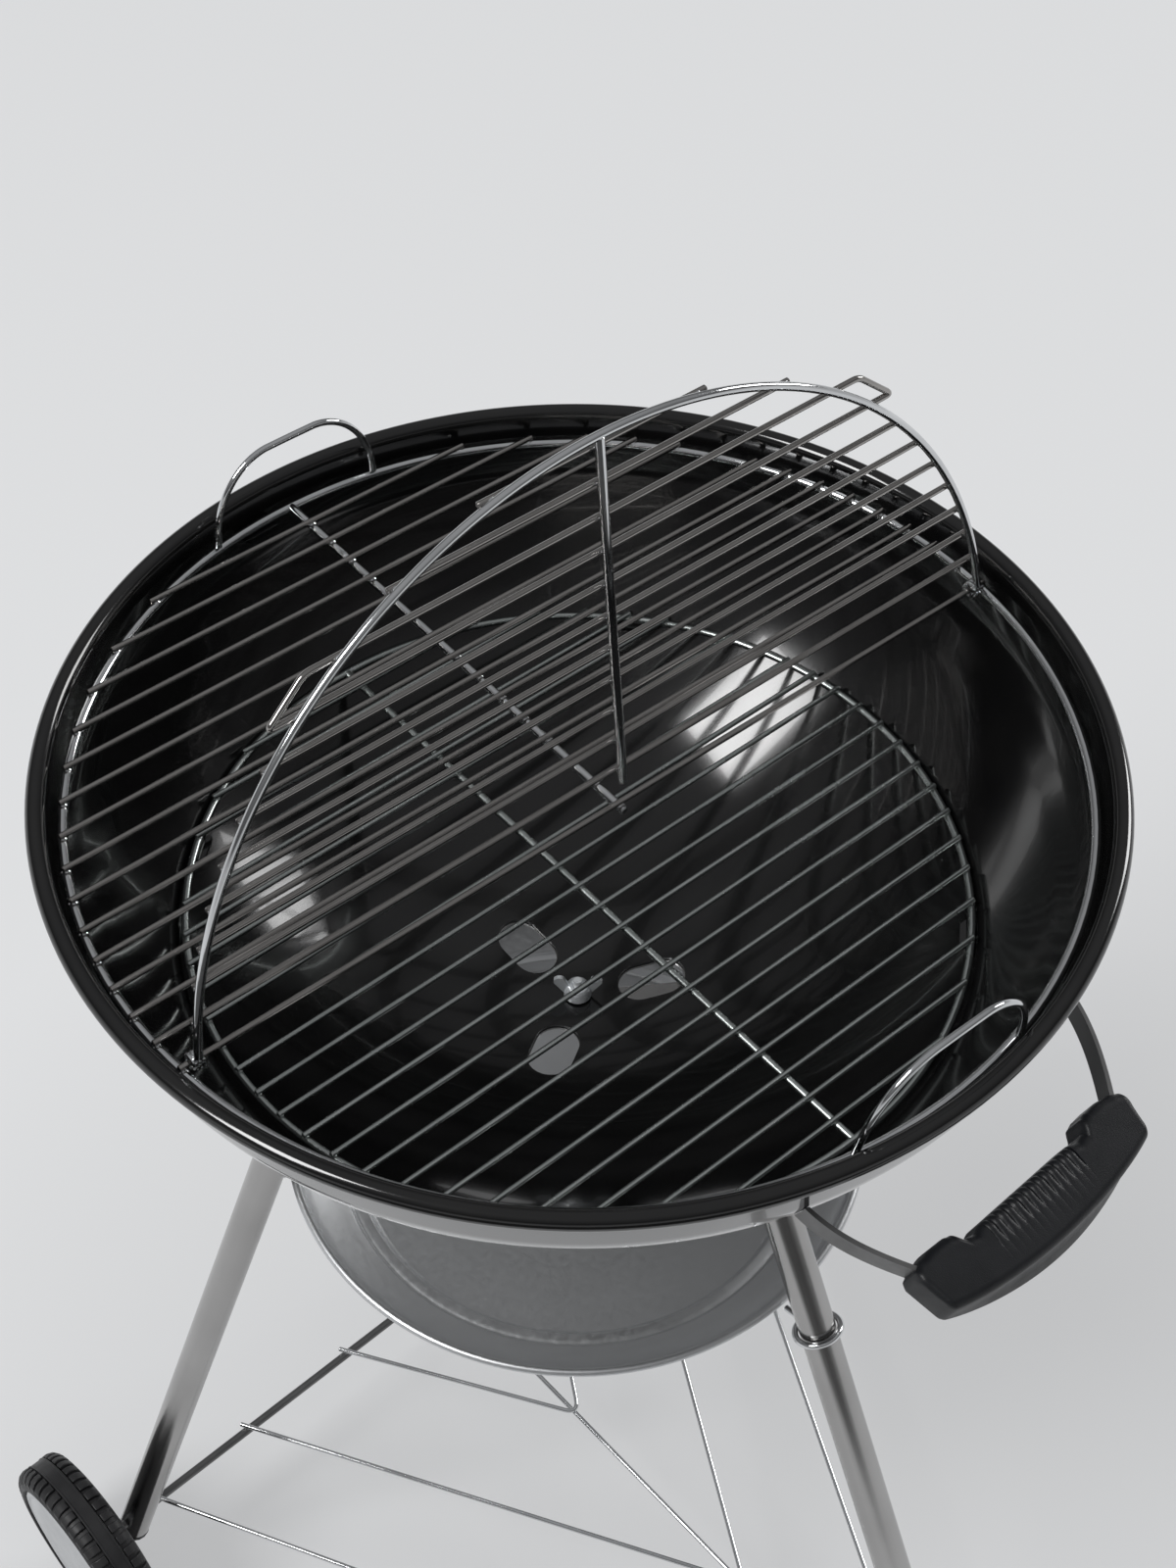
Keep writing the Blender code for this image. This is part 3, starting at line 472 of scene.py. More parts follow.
def make_world():
    """Pale to the camera; to all other rays a gradient over height with a bright low band."""
    world = bpy.data.worlds.new("studio")
    world.use_nodes = True
    tree = world.node_tree
    back = tree.nodes["Background"]
    rays = tree.nodes.new("ShaderNodeLightPath")
    mix = tree.nodes.new("ShaderNodeMix")
    mix.data_type = "RGBA"
    coords = tree.nodes.new("ShaderNodeTexCoord")
    split = tree.nodes.new("ShaderNodeSeparateXYZ")
    ramp = tree.nodes.new("ShaderNodeValToRGB")
    ramp.color_ramp.elements[0].position = 0.09
    ramp.color_ramp.elements[0].color = (0.50, 0.503, 0.508, 1.0)
    ramp.color_ramp.elements[1].position = 0.85
    ramp.color_ramp.elements[1].color = (0.34, 0.342, 0.348, 1.0)
    dim = ramp.color_ramp.elements.new(0.18)
    dim.color = (0.07, 0.07, 0.072, 1.0)
    tree.links.new(coords.outputs["Generated"], split.inputs["Vector"])
    tree.links.new(split.outputs["Z"], ramp.inputs["Fac"])
    tree.links.new(ramp.outputs["Color"], mix.inputs["A"])
    mix.inputs["B"].default_value = (0.70, 0.71, 0.72, 1.0)
    tree.links.new(rays.outputs["Is Camera Ray"], mix.inputs["Factor"])
    tree.links.new(mix.outputs["Result"], back.inputs["Color"])
    bpy.context.scene.world = world


def make_flag():
    """Black card lying on the floor in front, seen only in reflections."""
    bm = bmesh.new()
    toward = Vector((-0.68, -0.73, 0.0)).normalized()
    across = Vector((toward.y, -toward.x, 0.0))
    corners = [toward * 1.00 - across * 2.2, toward * 1.00 + across * 2.2,
               toward * 4.0 + across * 2.2, toward * 4.0 - across * 2.2]
    bm.faces.new([bm.verts.new(c + Vector((0, 0, 0.002))) for c in corners])
    mat = bpy.data.materials.new("black_card")
    mat.use_nodes = True
    shader = mat.node_tree.nodes["Principled BSDF"]
    shader.inputs["Base Color"].default_value = (0.06, 0.06, 0.06, 1.0)
    shader.inputs["Roughness"].default_value = 0.9
    flag = mesh_object("flag_card", bm, mat)
    flag.visible_camera = False
    flag.visible_diffuse = False
    flag.visible_shadow = False
    flag.visible_transmission = False


make_camera()
make_floor()
make_world()
make_flag()
bpy.context.scene.view_settings.view_transform = "Standard"
make_softbox("softbox_left", 167.0, 47.0, 7.0, 2.20, 3.10, 17.0)
make_softbox("softbox_right", -8.0, 23.0, 7.0, 1.90, 2.50, 10.0)


# ---- bowl

def sphere_curve(offset, start, steps):
    """Wall of the bowl's lower part from an angle down to the axis."""
    radius = BODY_SPHERE + offset
    center = BOWL_BOTTOM + BODY_SPHERE
    angles = [start * (1 - step / steps) for step in range(steps + 1)]
    return [Vector((radius * math.sin(a), center - radius * math.cos(a))) for a in angles]


def bowl_curve(offset, steps=34):
    """The wall from the collar's top to the axis, moved outwards by an offset."""
    body = sphere_curve(offset, math.asin(LEDGE_RADIUS / BODY_SPHERE), steps)
    collar = [(COLLAR_TOP + offset, 0.004), (COLLAR_RADIUS + offset, -COLLAR_DROP),
              tuple(body[0]), tuple(body[2])]
    return rounded(collar, (0.004, 0.004)) + body[3:]


def obround(length, width, steps=12):
    """A slot outline along X, centred on the origin."""
    half = (length - width) / 2
    return arc((half, 0.0), width / 2, -90, 90, steps) + arc((-half, 0.0), width / 2, 90, 270, steps)


def vent_tool(length, width):
    """Three slot cutters around the axis, pointing outwards."""
    bm = bmesh.new()
    for angle in VENT_ANGLES:
        a = math.radians(angle)
        outline = []
        for x, y in obround(length, width):
            x += VENT_RADIUS
            outline.append((x * math.cos(a) - y * math.sin(a), x * math.sin(a) + y * math.cos(a)))
        prism(bm, outline, -0.23, -0.15)
    return mesh_object("tool", bm, ENAMEL)


def bolt_tool():
    """Cutter for the bolt hole at the bottom of the bowl."""
    bm = bmesh.new()
    lathe(bm, [(0.0, -0.23), (BOLT_HOLE, -0.23), (BOLT_HOLE, -0.17), (0.0, -0.17)], 24)
    return mesh_object("tool", bm, ENAMEL)


def bowl_block():
    """A solid of the bowl's outer shape, for trimming what meets it."""
    bm = bmesh.new()
    lathe(bm, [(0.0, 0.004)] + bowl_curve(GAP))
    block = mesh_object("tool", bm, ENAMEL)
    block.matrix_world = in_bowl()
    return block


def make_bowl():
    """Enamelled shell with a rolled rim; its outer faces take the more strongly reflecting copy of the
    enamel, a painted sheen.
    """
    inside = list(reversed(bowl_curve(-WALL)))
    rim = arc((RIM_RADIUS, RIM_HEIGHT), RIM_BEAD, 190, -105, 22)
    bm = bmesh.new()
    lathe(bm, inside + rim + bowl_curve(0.0), 208)
    bowl = mesh_object("bowl_shell", bm, ENAMEL, 50.0)
    bowl.data.materials.append(ENAMEL_OUTSIDE_PAINTED_SHEEN)
    # Painted sheen: outer faces below the collar top get the brighter-reflecting copy of the enamel.
    for face in bowl.data.polygons:
        radial = Vector((face.center.x, face.center.y, 0.0))
        if face.center.z < 0.004 and face.normal.dot(radial) > 0 and face.normal.z < 0.1:
            face.material_index = 1
    boolean(bowl, vent_tool(VENT_LENGTH, VENT_WIDTH))
    boolean(bowl, bolt_tool())
    bowl.matrix_world = in_bowl()
    finish_piece(bowl, "frame", ("bowl",))


def make_damper():
    """Curved damper plate under the bowl, and its lever."""
    start = math.asin(DAMPER_RADIUS / BODY_SPHERE)
    upper = sphere_curve(GAP, start, 12)
    lower = sphere_curve(GAP + DAMPER_WALL, start, 12)
    bm = bmesh.new()
    lathe(bm, upper + list(reversed(lower)), 120)
    plate = mesh_object("damper_disc", bm, LEG, 50.0)
    boolean(plate, vent_tool(VENT_LENGTH - 0.001, VENT_WIDTH - 0.001))
    boolean(plate, bolt_tool())
    plate.matrix_world = in_bowl()
    finish_piece(plate, "damper", ("damper_plate",))
    top = BOWL_BOTTOM - 2 * GAP - DAMPER_WALL
    bm = bmesh.new()
    outline = [(0.0045, -0.006), (0.026, -0.006), (0.106, -0.005)] + arc((0.107, 0.0), 0.005, -90, 90, 10)
    prism(bm, outline + [(0.106, 0.005), (0.026, 0.006), (0.0045, 0.006)], top - LEVER_THICK, top)
    piece("damper_tab", bm, LEG, "damper", ("damper_lever",),
          in_bowl(math.radians(-35.0)), bevel=0.0005)


def make_bolt():
    """Bolt whose shank has shallow grooves for a thread."""
    low = BOWL_BOTTOM - 3 * GAP - DAMPER_WALL - LEVER_THICK
    profile = [(0.0, low - 0.004), (0.0046, low - 0.004), (0.0058, low - 0.003), (0.0058, low),
               (BOLT_RADIUS, low)]
    height = BOWL_BOTTOM - 0.004
    while height < BOWL_BOTTOM + 0.0145:
        profile += [(BOLT_RADIUS, height), (0.0026, height + 0.0005)]
        height += 0.0010
    profile += [(0.0024, BOWL_BOTTOM + 0.0160), (0.0, BOWL_BOTTOM + 0.0160)]
    bm = bmesh.new()
    lathe(bm, profile, 24)
    piece("damper_screw", bm, NUT, "frame", ("damper_bolt",), in_bowl())


def make_wing_nut():
    """Conical nut with two rounded ears."""
    seat = BOWL_BOTTOM + WALL + 3 * GAP
    bm = bmesh.new()
    lathe(bm, [(0.0033, 0.0), (0.0076, 0.0), (0.0082, 0.0008), (0.0074, 0.0060), (0.0062, 0.0084),
               (0.0052, 0.0090), (0.0033, 0.0090)], 32)
    nut = mesh_object("butterfly_nut", bm, NUT, 50.0)
    for side in (0.0, math.pi):
        bm = bmesh.new()
        outline = [(0.0045, 0.0010), (0.0080, 0.0026)] + arc((0.0107, 0.0127), 0.0034, -45, 150, 12)
        outline.append((0.0045, 0.0078))
        prism(bm, outline, -0.0012, 0.0012)
        ear = mesh_object("tool", bm, NUT)
        ear.matrix_world = Matrix.Rotation(side, 4, "Z") @ Matrix.Rotation(math.pi / 2, 4, "X")
        boolean(nut, ear, "UNION")
    nut.matrix_world = in_bowl(NUT_TURN, (0, 0, seat))
    finish_piece(nut, "wing_nut", ("wing_nut",), bevel=0.0004)


# ---- grates

def straight(half, v, height):
    """End points of a rod across a grate."""
    return [Vector((-half, v, height)), Vector((half, v, height))]


def make_cooking_grate():
    """Rods with weld beads on a ring and a cross bar."""
    rods, bm = bmesh.new(), bmesh.new()
    for number in range(FIXED_RODS):
        v = HINGE_V + number * ROD_PITCH
        half = math.sqrt((RING_RADIUS + ROD_REACH) ** 2 - v ** 2)
        tube(rods, straight(half, v, 0.0), ROD_WIRE)
        across = math.sqrt(RING_RADIUS ** 2 - v ** 2)
        for x in (-across, 0.0, across):
            nugget(bm, Vector((x, v, -ROD_WIRE)), 0.0024, 0.0011)
    tube(bm, circle(RING_RADIUS, -(ROD_WIRE + RING_WIRE - WELD)), RING_WIRE, 16, True)
    drop = ROD_WIRE + BAR_WIRE - WELD
    tube(bm, [Vector((0, HINGE_V - 0.004, -drop)), Vector((0, RING_RADIUS, -drop))], BAR_WIRE)
    piece("grate_rods", rods, ROD, "cooking_grate", ("cooking_grate",), in_bowl(GRATE_TURN))
    piece("grate_ring", bm, PLATED, "cooking_grate", (), in_bowl(GRATE_TURN))


def make_lift_handles():
    """Upright wire arches on the ring, front and rear."""
    foot_v = math.sqrt(RING_RADIUS ** 2 - LIFT_HALF_SPAN ** 2)
    foot_z = -ROD_WIRE + WELD + 2 * GAP
    for name, side, lean in (("front", -1, -LIFT_LEAN), ("rear", 1, 0.0)):
        path = []
        for x, rise in arc((0.0, 0.0), 1.0, 180, 0, 54):
            flat = math.copysign(LIFT_FLAT, x) if abs(x) > 0.01 else 0.0
            path.append(Vector((flat + (LIFT_HALF_SPAN - LIFT_FLAT) * x,
                                side * foot_v - LIFT_SHIFT + lean * rise, foot_z + LIFT_RISE * rise)))
        bm = bmesh.new()
        tube(bm, path, LIFT_WIRE)
        piece("lift_arch_" + name, bm, PLATED, "cooking_grate", ("grate_lift_" + name,),
              in_bowl(GRATE_TURN))


def make_flap():
    """Hinged grate segment with side loops and coiled hinge eyes."""
    spots = [FLAP_FIRST + FLAP_PITCH * number for number in range(FLAP_RODS)]
    drop = ROD_WIRE + FLAP_WIRE - WELD
    bar_drop = ROD_WIRE + BAR_WIRE - WELD
    rods, bm = bmesh.new(), bmesh.new()
    for number, s in enumerate(spots):
        v = s - HINGE_V
        across = math.sqrt(FLAP_RADIUS ** 2 - v ** 2)
        for x in (-across, 0.0, across):
            nugget(bm, Vector((x, -s, -ROD_WIRE)), 0.0022, 0.0010)
        if number in (7, 8):
            continue
        half = math.sqrt((FLAP_RADIUS + 0.0016) ** 2 - v ** 2)
        tube(rods, straight(half, -s, 0.0), ROD_WIRE)
    near, far = spots[7], spots[8]
    reach_near = math.sqrt(LOOP_REACH ** 2 - (near - HINGE_V) ** 2)
    reach_far = math.sqrt(LOOP_REACH ** 2 - (far - HINGE_V) ** 2)
    corners = [Vector((reach_near, -near, 0)), Vector((reach_far, -far, 0)),
               Vector((-reach_far, -far, 0)), Vector((-reach_near, -near, 0))]
    path = []
    for index, point in enumerate(corners):
        before = (corners[index - 1] - point).normalized() * 0.004
        after = (corners[(index + 1) % 4] - point).normalized() * 0.004
        for step in range(7):
            t = step / 6
            path.append(point + before * (1 - t) ** 2 + after * t ** 2)
    tube(rods, path, ROD_WIRE, 14, True)
    start = math.degrees(math.asin((HINGE_V - 0.0035) / FLAP_RADIUS))
    hoop = [Vector((x, y, -drop)) for x, y in arc((0.0, -HINGE_V), FLAP_RADIUS, start, -180 - start, 96)]
    tube(bm, hoop, FLAP_WIRE, 16)
    tube(bm, [Vector((0, -0.0165, -bar_drop)), Vector((0, -(FLAP_RADIUS + HINGE_V), -bar_drop))], BAR_WIRE)
    across = math.sqrt(FLAP_RADIUS ** 2 - HINGE_V ** 2)
    for side in (-1, 1):
        for shift in (-0.0022, 0.0, 0.0022):
            turns = [2 * math.pi * step / 24 for step in range(24)]
            eye = [Vector((side * across + shift, 0.0040 * math.cos(a), 0.0040 * math.sin(a))) for a in turns]
            tube(bm, eye, EYE_WIRE, 10, True)
    tilt = Matrix.Rotation(-FLAP_ANGLE, 4, "X")
    place = in_bowl(GRATE_TURN, (0.0, HINGE_V, 0.0), tilt)
    piece("flap_rods", rods, ROD, "flap", ("cooking_grate_flap",), place)
    piece("flap_hoop", bm, PLATED, "flap", (), place)


def make_charcoal_grate():
    """Ring, rods and cross bar of the lower grate."""
    bm = bmesh.new()
    for number in range(-11, 12):
        v = -0.0017 + number * CHAR_PITCH
        tube(bm, straight(math.sqrt((CHAR_RADIUS + 0.0012) ** 2 - v ** 2), v, 0.0), CHAR_ROD_WIRE)
        across = math.sqrt(CHAR_RADIUS ** 2 - v ** 2)
        for x in (-across, 0.0, across):
            nugget(bm, Vector((x, v, -CHAR_ROD_WIRE)), 0.0021, 0.0010)
    drop = CHAR_ROD_WIRE + CHAR_RING_WIRE - WELD
    tube(bm, circle(CHAR_RADIUS, -drop), CHAR_RING_WIRE, 14, True)
    drop = CHAR_ROD_WIRE + CHAR_BAR_WIRE - WELD
    tube(bm, [Vector((0, -CHAR_RADIUS, -drop)), Vector((0, CHAR_RADIUS, -drop))], CHAR_BAR_WIRE)
    piece("charcoal_wires", bm, ZINC, "charcoal_grate", ("charcoal_grate",),
          in_bowl(CHARCOAL_TURN, (0.0, 0.0, CHAR_HEIGHT)))


# ---- ash pan

def pan_profile(offset):
    """Upper or lower face of the pan from the rim to the axis."""
    points = [(PAN_RADIUS - PAN_BEAD, PAN_HEIGHT), (0.172, PAN_HEIGHT - 0.010), (0.160, PAN_HEIGHT - 0.018),
              (PAN_STEP + 0.0085, PAN_STEP_HEIGHT + 0.0018), (PAN_STEP + 0.0065, PAN_STEP_HEIGHT - 0.0008),
              (PAN_STEP + 0.0040, PAN_STEP_HEIGHT - 0.0003), (PAN_STEP - 0.001, PAN_STEP_HEIGHT),
              (PAN_STEP - 0.004, PAN_STEP_HEIGHT - 0.006), (0.100, PAN_STEP_HEIGHT - 0.013),
              (0.0, PAN_STEP_HEIGHT - 0.015)]
    sizes = (0.005, 0.006, 0.0008, 0.0008, 0.0010, 0.0012, 0.0020, 0.015)
    return [Vector((p.x, p.y - offset)) for p in rounded(points, sizes, 6)]


def make_ash_pan():
    """Shallow pan with a rolled rim and a stepped, pressed floor."""
    bead = [Vector(p) for p in arc((PAN_RADIUS - PAN_BEAD, PAN_HEIGHT), PAN_BEAD, 180, -60, 16)]
    inside = list(reversed(pan_profile(0.0)))
    bm = bmesh.new()
    lathe(bm, inside[:-1] + bead + pan_profile(PAN_WALL)[1:], 176)
    piece("ash_pan_dish", bm, PAN, "ash_pan", ("ash_pan",), in_bowl(), 50.0)


# ---- legs

def leg_line(name):
    """Top and foot of a leg's axis, in the bowl's frame."""
    if name == "front":
        radius, height = FRONT_LEG_TOP
        slope, angle, low = FRONT_LEG_SLOPE, -90.0, 0.012 - GRATE_HEIGHT
    else:
        radius, height = SIDE_LEG_TOP
        slope, low = SIDE_LEG_SLOPE, AXLE_HEIGHT - 0.014
        angle = SIDE_LEG_ANGLE if name == "right" else 180.0 - SIDE_LEG_ANGLE
    outward = Vector((math.cos(math.radians(angle)), math.sin(math.radians(angle)), 0))
    top = outward * radius + Vector((0, 0, height))
    return top, outward * (radius + slope * (height - low)) + Vector((0, 0, low))


def make_leg(name):
    """One leg tube and the socket welded to the bowl."""
    top, foot = leg_line(name)
    down = (foot - top).normalized()
    length = (foot - top).length
    turn = Vector((0, 0, -1)).rotation_difference(down).to_matrix().to_4x4()
    place = in_bowl() @ Matrix.Translation(top) @ turn
    bm = bmesh.new()
    tube(bm, [Vector((0, 0, 0.02)), Vector((0, 0, -length))], LEG_RADIUS, 56, chamfer=0.05)
    leg = mesh_object("leg_tube_" + name, bm, LEG)
    leg.matrix_world = place
    boolean(leg, bowl_block())
    finish_piece(leg, "frame", ("leg_" + name,))
    inner, outer = LEG_RADIUS + 2 * GAP, LEG_RADIUS + SOCKET_WALL
    bm = bmesh.new()
    lathe(bm, [(inner, 0.03), (outer, 0.03), (outer, -0.0365), (outer - 0.0008, -0.038), (inner, -0.038)], 56)
    socket = mesh_object("socket_sleeve_" + name, bm, ENAMEL)
    socket.matrix_world = place
    boolean(socket, bowl_block())
    finish_piece(socket, "frame", ("leg_socket_" + name,))


def make_leg_foot():
    """Moulded foot of the front leg."""
    top, foot = leg_line("front")
    down = (foot - top).normalized()
    center = foot + down * ((GRATE_HEIGHT + foot.z) / -down.z)
    bm = bmesh.new()
    bore = LEG_RADIUS + 0.0012
    lathe(bm, [(bore, 0.014), (bore, 0.028), (0.0132, 0.0300), (0.0141, 0.0290), (0.0143, 0.0240),
               (0.0138, 0.0225), (0.0144, 0.0210), (0.0145, 0.0040), (0.0138, 0.0), (0.0, 0.0),
               (0.0, 0.014)], 64)
    place = in_bowl(0.0, (center.x, center.y + 0.002, -GRATE_HEIGHT))
    piece("leg_foot_cap", bm, GRIP, "frame", ("leg_foot_front",), place)


def make_pan_clip(name):
    """Wire that holds the pan's rim to a leg: a stub, and a ring round the front leg."""
    top, foot = leg_line(name)
    down = (foot - top).normalized()
    rise = CLIP_RISE if name == "front" else 0.0
    center = top.lerp(foot, (top.z - PAN_HEIGHT - rise) / (top.z - foot.z))
    outward = Vector((center.x, center.y, 0)).normalized()
    rim = outward * (PAN_RADIUS + CLIP_WIRE + GAP) + Vector((0, 0, PAN_HEIGHT))
    bm = bmesh.new()
    if name == "front":
        across = Vector((1, 0, 0))
        back = down.cross(across).normalized()
        radius = LEG_RADIUS + CLIP_WIRE + 2 * GAP
        turns = [2 * math.pi * step / 72 for step in range(72)]
        ring = [center + (across * math.cos(a) + back * math.sin(a)) * radius for a in turns]
        tube(bm, ring, CLIP_WIRE, 18, True)
        inner = center - back * radius
        tube(bm, [rim.lerp(inner, step / 6) for step in range(7)], CLIP_WIRE, 18)
        nugget(bm, inner, 0.0029, 0.0024)
    else:
        reach = (center - rim).length - LEG_RADIUS - 2 * GAP
        tube(bm, [rim, rim + (center - rim).normalized() * reach], CLIP_WIRE, 18)
    piece("pan_clip_wire_" + name, bm, PLATED, "frame", ("pan_clip_" + name,), in_bowl())


# ---- axle, wheels and rack

def make_axle():
    """Straight axle through both wheel legs."""
    half = WHEEL_INNER + 0.0295
    bm = bmesh.new()
    tube(bm, [Vector((-half, AXLE_Y, AXLE_HEIGHT)), Vector((half, AXLE_Y, AXLE_HEIGHT))], AXLE_RADIUS, 28)
    piece("axle_rod", bm, STRIP, "frame", ("axle",), in_bowl())


TREAD = [(0.0655, 0.0), (0.0695, 0.0022), (0.0716, 0.0060), (0.0722, 0.0112), (0.0742, 0.0116),
         (0.0745, 0.0120), (0.0745, 0.0128), (0.0740, 0.0132)]
LUGS = 48
LUG_HALF = 0.0031
LUG_SIDE = [(0.0655, 0.0006), (0.0700, 0.0010), (0.0730, 0.0036), (0.0744, 0.0072), (0.0744, 0.0108),
            (0.0712, 0.0108), (0.0690, 0.0048), (0.0655, 0.0030)]


def make_wheel(name, side):
    """Wheel with tread lugs, its hub disc and its spacer."""
    lay = Matrix.Rotation(side * math.pi / 2, 4, "Y")
    place = in_bowl(0.0, (side * WHEEL_INNER, AXLE_Y, AXLE_HEIGHT), lay)
    wide = WHEEL_WIDTH
    bore = AXLE_RADIUS + 2 * GAP
    bm = bmesh.new()
    hub = [(bore, -0.002), (0.0105, -0.002), (0.011, -0.0015), (0.011, 0.0040), (0.0555, 0.0045),
           (0.0590, 0.0008), (0.0600, 0.0)]
    face = [(0.0628, wide), (0.0622, wide - 0.0006), (0.0614, wide - 0.0040), (bore, wide - 0.0040)]
    far_tread = [(radius, wide - depth) for radius, depth in reversed(TREAD)]
    lathe(bm, hub + TREAD + far_tread + face, 144)
    body = "wheel_" + name
    piece("wheel_rim_" + name, bm, WHEEL, body, ("wheel_" + name,), place)
    bm = bmesh.new()
    for number in range(LUGS):
        for face in (0, 1):
            turn = 2 * math.pi * (number + 0.5 * face) / LUGS
            spin = Matrix.Rotation(turn, 4, "Z")
            ends = []
            for reach in (-LUG_HALF, LUG_HALF):
                ring = []
                for r, w in LUG_SIDE:
                    height = w if face == 0 else wide - w
                    ring.append(bm.verts.new(spin @ Vector((r, reach, height))))
                ends.append(ring)
            bm.faces.new(ends[0])
            bm.faces.new(list(reversed(ends[1])))
            for index in range(len(LUG_SIDE)):
                other = (index + 1) % len(LUG_SIDE)
                bm.faces.new((ends[0][index], ends[1][index], ends[1][other], ends[0][other]))
    piece("wheel_lugs_" + name, bm, WHEEL, body, (), place, bevel=0.0007)
    seat = wide - 0.004 + GAP
    bm = bmesh.new()
    dome = [(0.0, 0.0), (0.0605, 0.0), (0.0605, 0.0018), (0.0598, 0.0024), (0.0570, 0.0026), (0.0560, 0.0020),
            (0.0545, 0.0020), (0.0535, 0.0028), (0.0450, 0.0044), (0.0200, 0.0053), (0.0, 0.0056)]
    lathe(bm, [(radius, seat + rise) for radius, rise in dome], 128)
    piece("hub_cover_" + name, bm, HUB, body, ("hub_disc_" + name,), place)
    start = SPACER_INNER - WHEEL_INNER
    low, high = AXLE_RADIUS + GAP, SPACER_RADIUS
    bm = bmesh.new()
    lathe(bm, [(low, start), (high - 0.0005, start), (high, start + 0.0005), (high, -0.0028 - GAP),
               (high - 0.0005, -0.002 - GAP), (low, -0.002 - GAP)], 40)
    piece("axle_sleeve_" + name, bm, HUB, "frame", ("axle_spacer_" + name,), place)


def make_rack():
    """Three nested V wires over the axle, lying on a spine."""
    height = AXLE_HEIGHT + AXLE_RADIUS + GAP + RACK_WIRE
    mirror = Vector((-1, 1, 1))
    for name, foot, apex, bend in RACKS:
        run = Vector((foot, AXLE_Y - apex, 0)).normalized()
        tail = Vector((foot, AXLE_Y, height)) + run * 0.006
        low = Vector((0, apex, height))
        knee = low + run * bend
        path = [tail]
        for step in range(13):
            t = step / 12
            path.append(knee * (1 - t) ** 2 + low * 2 * t * (1 - t) + knee * mirror * t ** 2)
        bm = bmesh.new()
        tube(bm, path + [tail * mirror], RACK_WIRE)
        for side in (-1, 1):
            nugget(bm, Vector((side * foot, AXLE_Y, height - RACK_WIRE)), 0.0022, 0.0010)
        piece("rack_vee_" + name, bm, PLATED, "frame", ("rack_wire_" + name,), in_bowl())
    end = -(FRONT_LEG_TOP[0] + FRONT_LEG_SLOPE * (FRONT_LEG_TOP[1] - RACK_Z)) - 0.024
    bm = bmesh.new()
    tube(bm, [Vector((0, AXLE_Y - 0.010, RACK_Z)), Vector((0, end, RACK_Z))], RACK_WIRE)
    piece("rack_spine_wire", bm, PLATED, "frame", ("rack_spine",), in_bowl())


# ---- side handle

def handle_frame():
    """Matrix of the handle's own axes: +X across, +Y outwards, sloping down."""
    spin = Matrix.Rotation(math.pi + HANDLE_TURN, 4, "Z")
    reach = Matrix.Translation((0.0, HANDLE_REACH, HANDLE_HEIGHT))
    return Matrix.Translation(BOWL) @ spin @ reach @ Matrix.Rotation(-HANDLE_TILT, 4, "X")


def between(table, x):
    """Smooth value from a table of (x, value) pairs."""
    for (x0, v0), (x1, v1) in zip(table, table[1:]):
        if x <= x1:
            t = (x - x0) / (x1 - x0)
            return v0 + (v1 - v0) * t * t * (3 - 2 * t)
    return table[-1][1]


GRIP_INNER = ((0.0, 0.0070), (0.0315, 0.0070), (0.0375, 0.0088), (0.0425, 0.0076), (0.0475, 0.0020),
              (0.0515, 0.0009), (0.0590, 0.0006), (0.0670, 0.0016), (0.0730, 0.0038), (0.0755, 0.0056))
RIDGE_PITCH = 0.0045
RIDGE_DEPTH = 0.0017
RIDGE_REACH = 7 * RIDGE_PITCH
END_RADIUS = 0.0036


def grip_section(x):
    """Closed (y, z) section of the grip at a distance from its middle."""
    size = abs(x)
    half = GRIP_TALL / 2
    near = between(GRIP_INNER, size)
    far = GRIP_OUTER - x * x / (2 * GRIP_SWEEP)
    flare = GRIP_FLARE * max(math.cos(math.pi * x / (2 * GRIP_HALF)), 0.0)
    groove = 0.0
    if size < RIDGE_REACH:
        across = 2 * (x / RIDGE_PITCH - math.floor(x / RIDGE_PITCH)) - 1
        groove = RIDGE_DEPTH * (1 - math.sqrt(1 - across * across))
    points = [(near + 0.0016, -half), (near + 0.0004, 0.0010 - half), (near, 0.0030 - half),
              (near, -0.0030), (near + groove * 0.7, 0.0010), (near + groove, half - 0.0075)]
    for y, z in arc((0.0, 0.0), 1.0, 180, 90, 7):
        points.append((near + 0.0055 + (0.0055 - groove) * y, half - 0.0055 + (0.0055 - groove) * z))
    for step in range(1, 6):
        fade = max(0.0, 1 - (step / 5) ** 2)
        points.append((near + 0.0055 + 0.0019 * step, half - groove * fade - 0.0001))
    for y, z in arc((0.0, 0.0), 1.0, 90, 15, 8):
        points.append((far - 0.0050 + 0.0050 * y, half - 0.0050 + 0.0050 * z))
    foot = far + flare
    points += [(far + flare * 0.12, 0.0), (far + flare * 0.45, -0.0040), (far + flare * 0.95, 0.0024 - half),
               (foot, 0.0014 - half), (foot - 0.0008, 0.0003 - half), (foot - 0.0022, -half)]
    return points


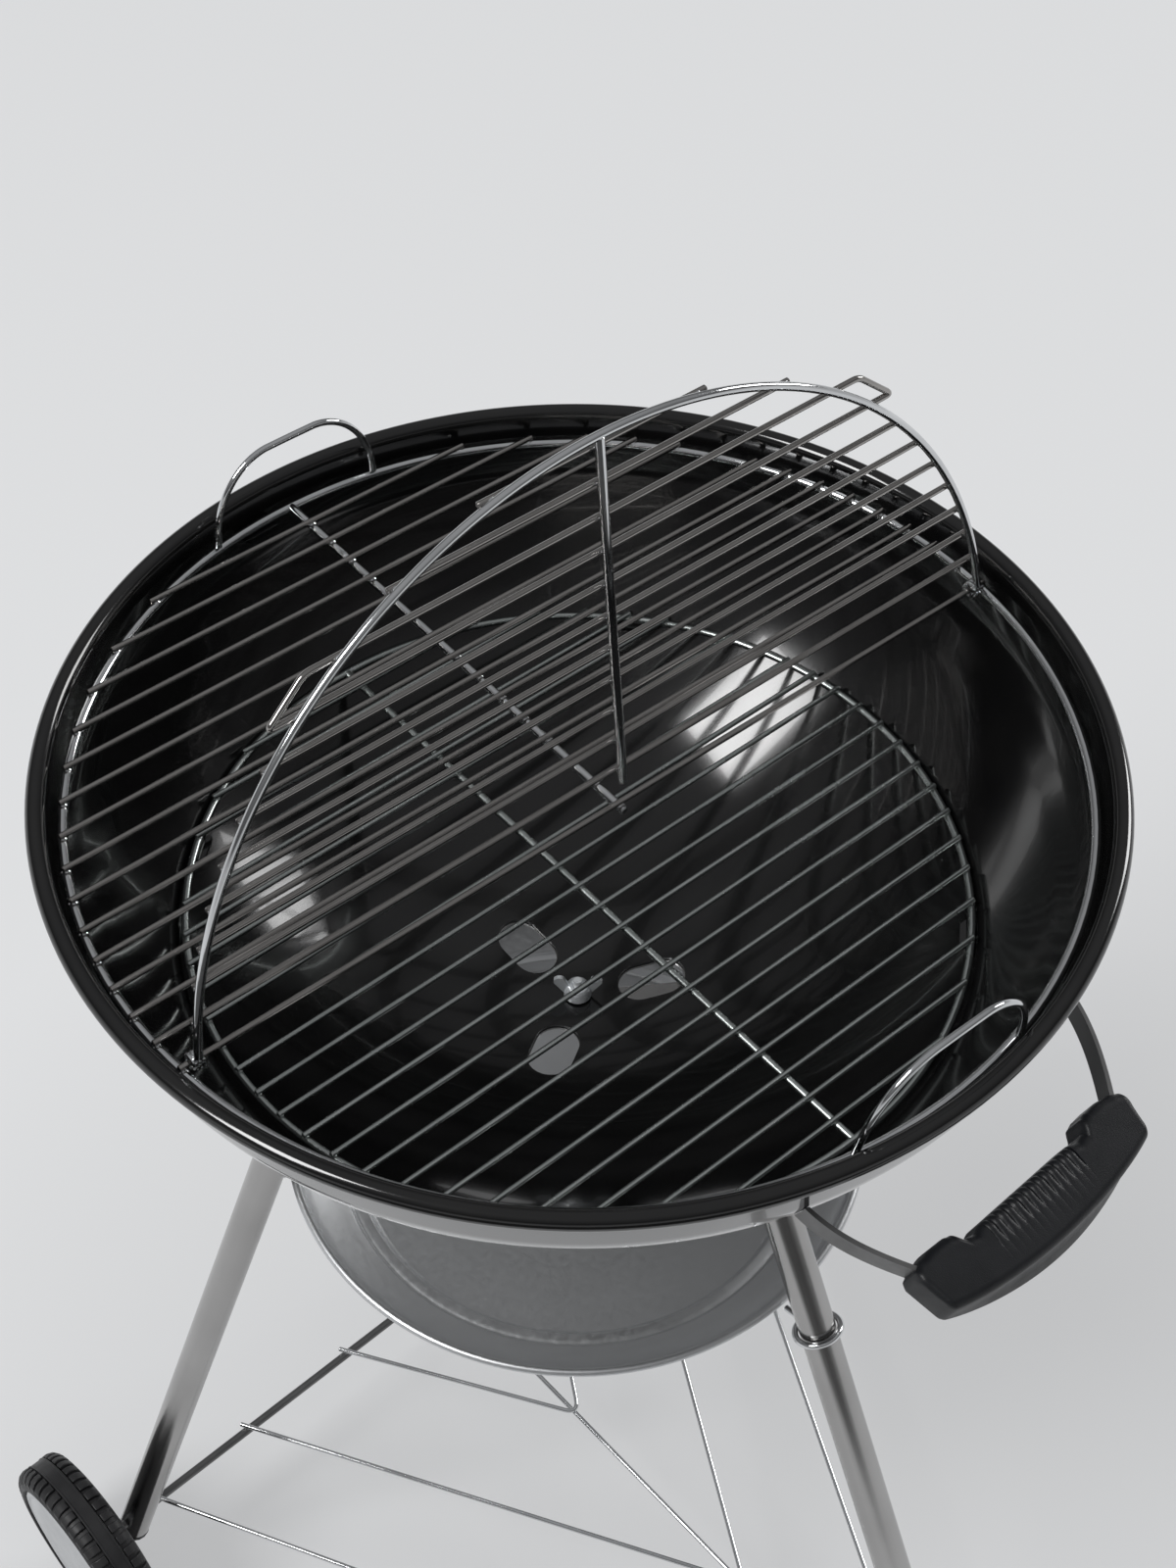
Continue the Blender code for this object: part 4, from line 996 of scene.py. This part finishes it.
def make_grip():
    """Moulded grip, lofted from end to end, its flat ends rounded at the edges."""
    bm = bmesh.new()
    stations = 560
    straight_half = GRIP_HALF - END_RADIUS
    spots = [straight_half * (2 * index / stations - 1) for index in range(stations + 1)]
    trims = [0.0] * len(spots)
    for x, inset in arc((0.0, 1.0), 1.0, -78, 0, 6):
        spots = [-straight_half - x * END_RADIUS] + spots + [straight_half + x * END_RADIUS]
        trims = [inset * END_RADIUS] + trims + [inset * END_RADIUS]
    rings = []
    for x, inset in zip(spots, trims):
        section = grip_section(max(-GRIP_HALF, min(GRIP_HALF, x)))
        cy = sum(p[0] for p in section) / len(section)
        ring = []
        for y, z in section:
            run = Vector((cy - y, -z))
            y, z = y + run.x / max(run.length, 1e-6) * inset, z + run.y / max(run.length, 1e-6) * inset
            slant = max(0.0, y - 0.008) * 0.2 * (abs(x) / GRIP_HALF) ** 6
            ring.append(bm.verts.new((math.copysign(min(abs(x), GRIP_HALF) - slant, x), y, z)))
        rings.append(ring)
    for near, far in zip(rings, rings[1:]):
        for index in range(len(near)):
            other = (index + 1) % len(near)
            bm.faces.new((near[index], near[other], far[other], far[index]))
    bm.faces.new(list(reversed(rings[0])))
    bm.faces.new(rings[-1])
    piece("grip_moulding", bm, GRIP, "frame", ("handle_grip",), handle_frame(), 38.0)


def make_arms():
    """Bent steel strips from the bowl into the grip."""
    for name, side in (("left", 1), ("right", -1)):
        left, right = [], []
        path = []
        for step in range(28):
            t = step / 30
            rest = 1 - t
            weights = (rest ** 3, 3 * rest ** 2 * t, 3 * rest * t ** 2, t ** 3)
            path.append(Vector((side * sum(w * p[0] for w, p in zip(weights, ARM_ROUTE)),
                                sum(w * p[1] for w, p in zip(weights, ARM_ROUTE)))))
        for index, point in enumerate(path):
            run = (path[min(index + 1, len(path) - 1)] - path[max(index - 1, 0)]).normalized()
            offset = Vector((-run.y, run.x)) * STRIP_THICK / 2
            left.append(point + offset)
            right.append(point - offset)
        bm = bmesh.new()
        prism(bm, left + list(reversed(right)), -STRIP_TALL / 2, STRIP_TALL / 2)
        arm = mesh_object("arm_strap_" + name, bm, STRIP)
        arm.matrix_world = handle_frame()
        boolean(arm, bowl_block())
        finish_piece(arm, "frame", ("handle_arm_" + name,), bevel=0.0004)


make_bowl()
make_damper()
make_bolt()
make_wing_nut()
make_cooking_grate()
make_lift_handles()
make_flap()
make_charcoal_grate()
make_ash_pan()
for leg_name in ("front", "left", "right"):
    make_leg(leg_name)
    make_pan_clip(leg_name)
make_leg_foot()
make_axle()
make_wheel("left", -1)
make_wheel("right", 1)
make_rack()
make_grip()
make_arms()

KEPT = {"grate_bracket_": ENAMEL, "charcoal_bracket_": ENAMEL, "rack_nut": ZINC, "leg_plug_": GRIP}
for node_name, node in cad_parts.items():
    for start, mat in KEPT.items():
        if node_name.startswith(start):
            for slot in node.material_slots:
                slot.material = mat
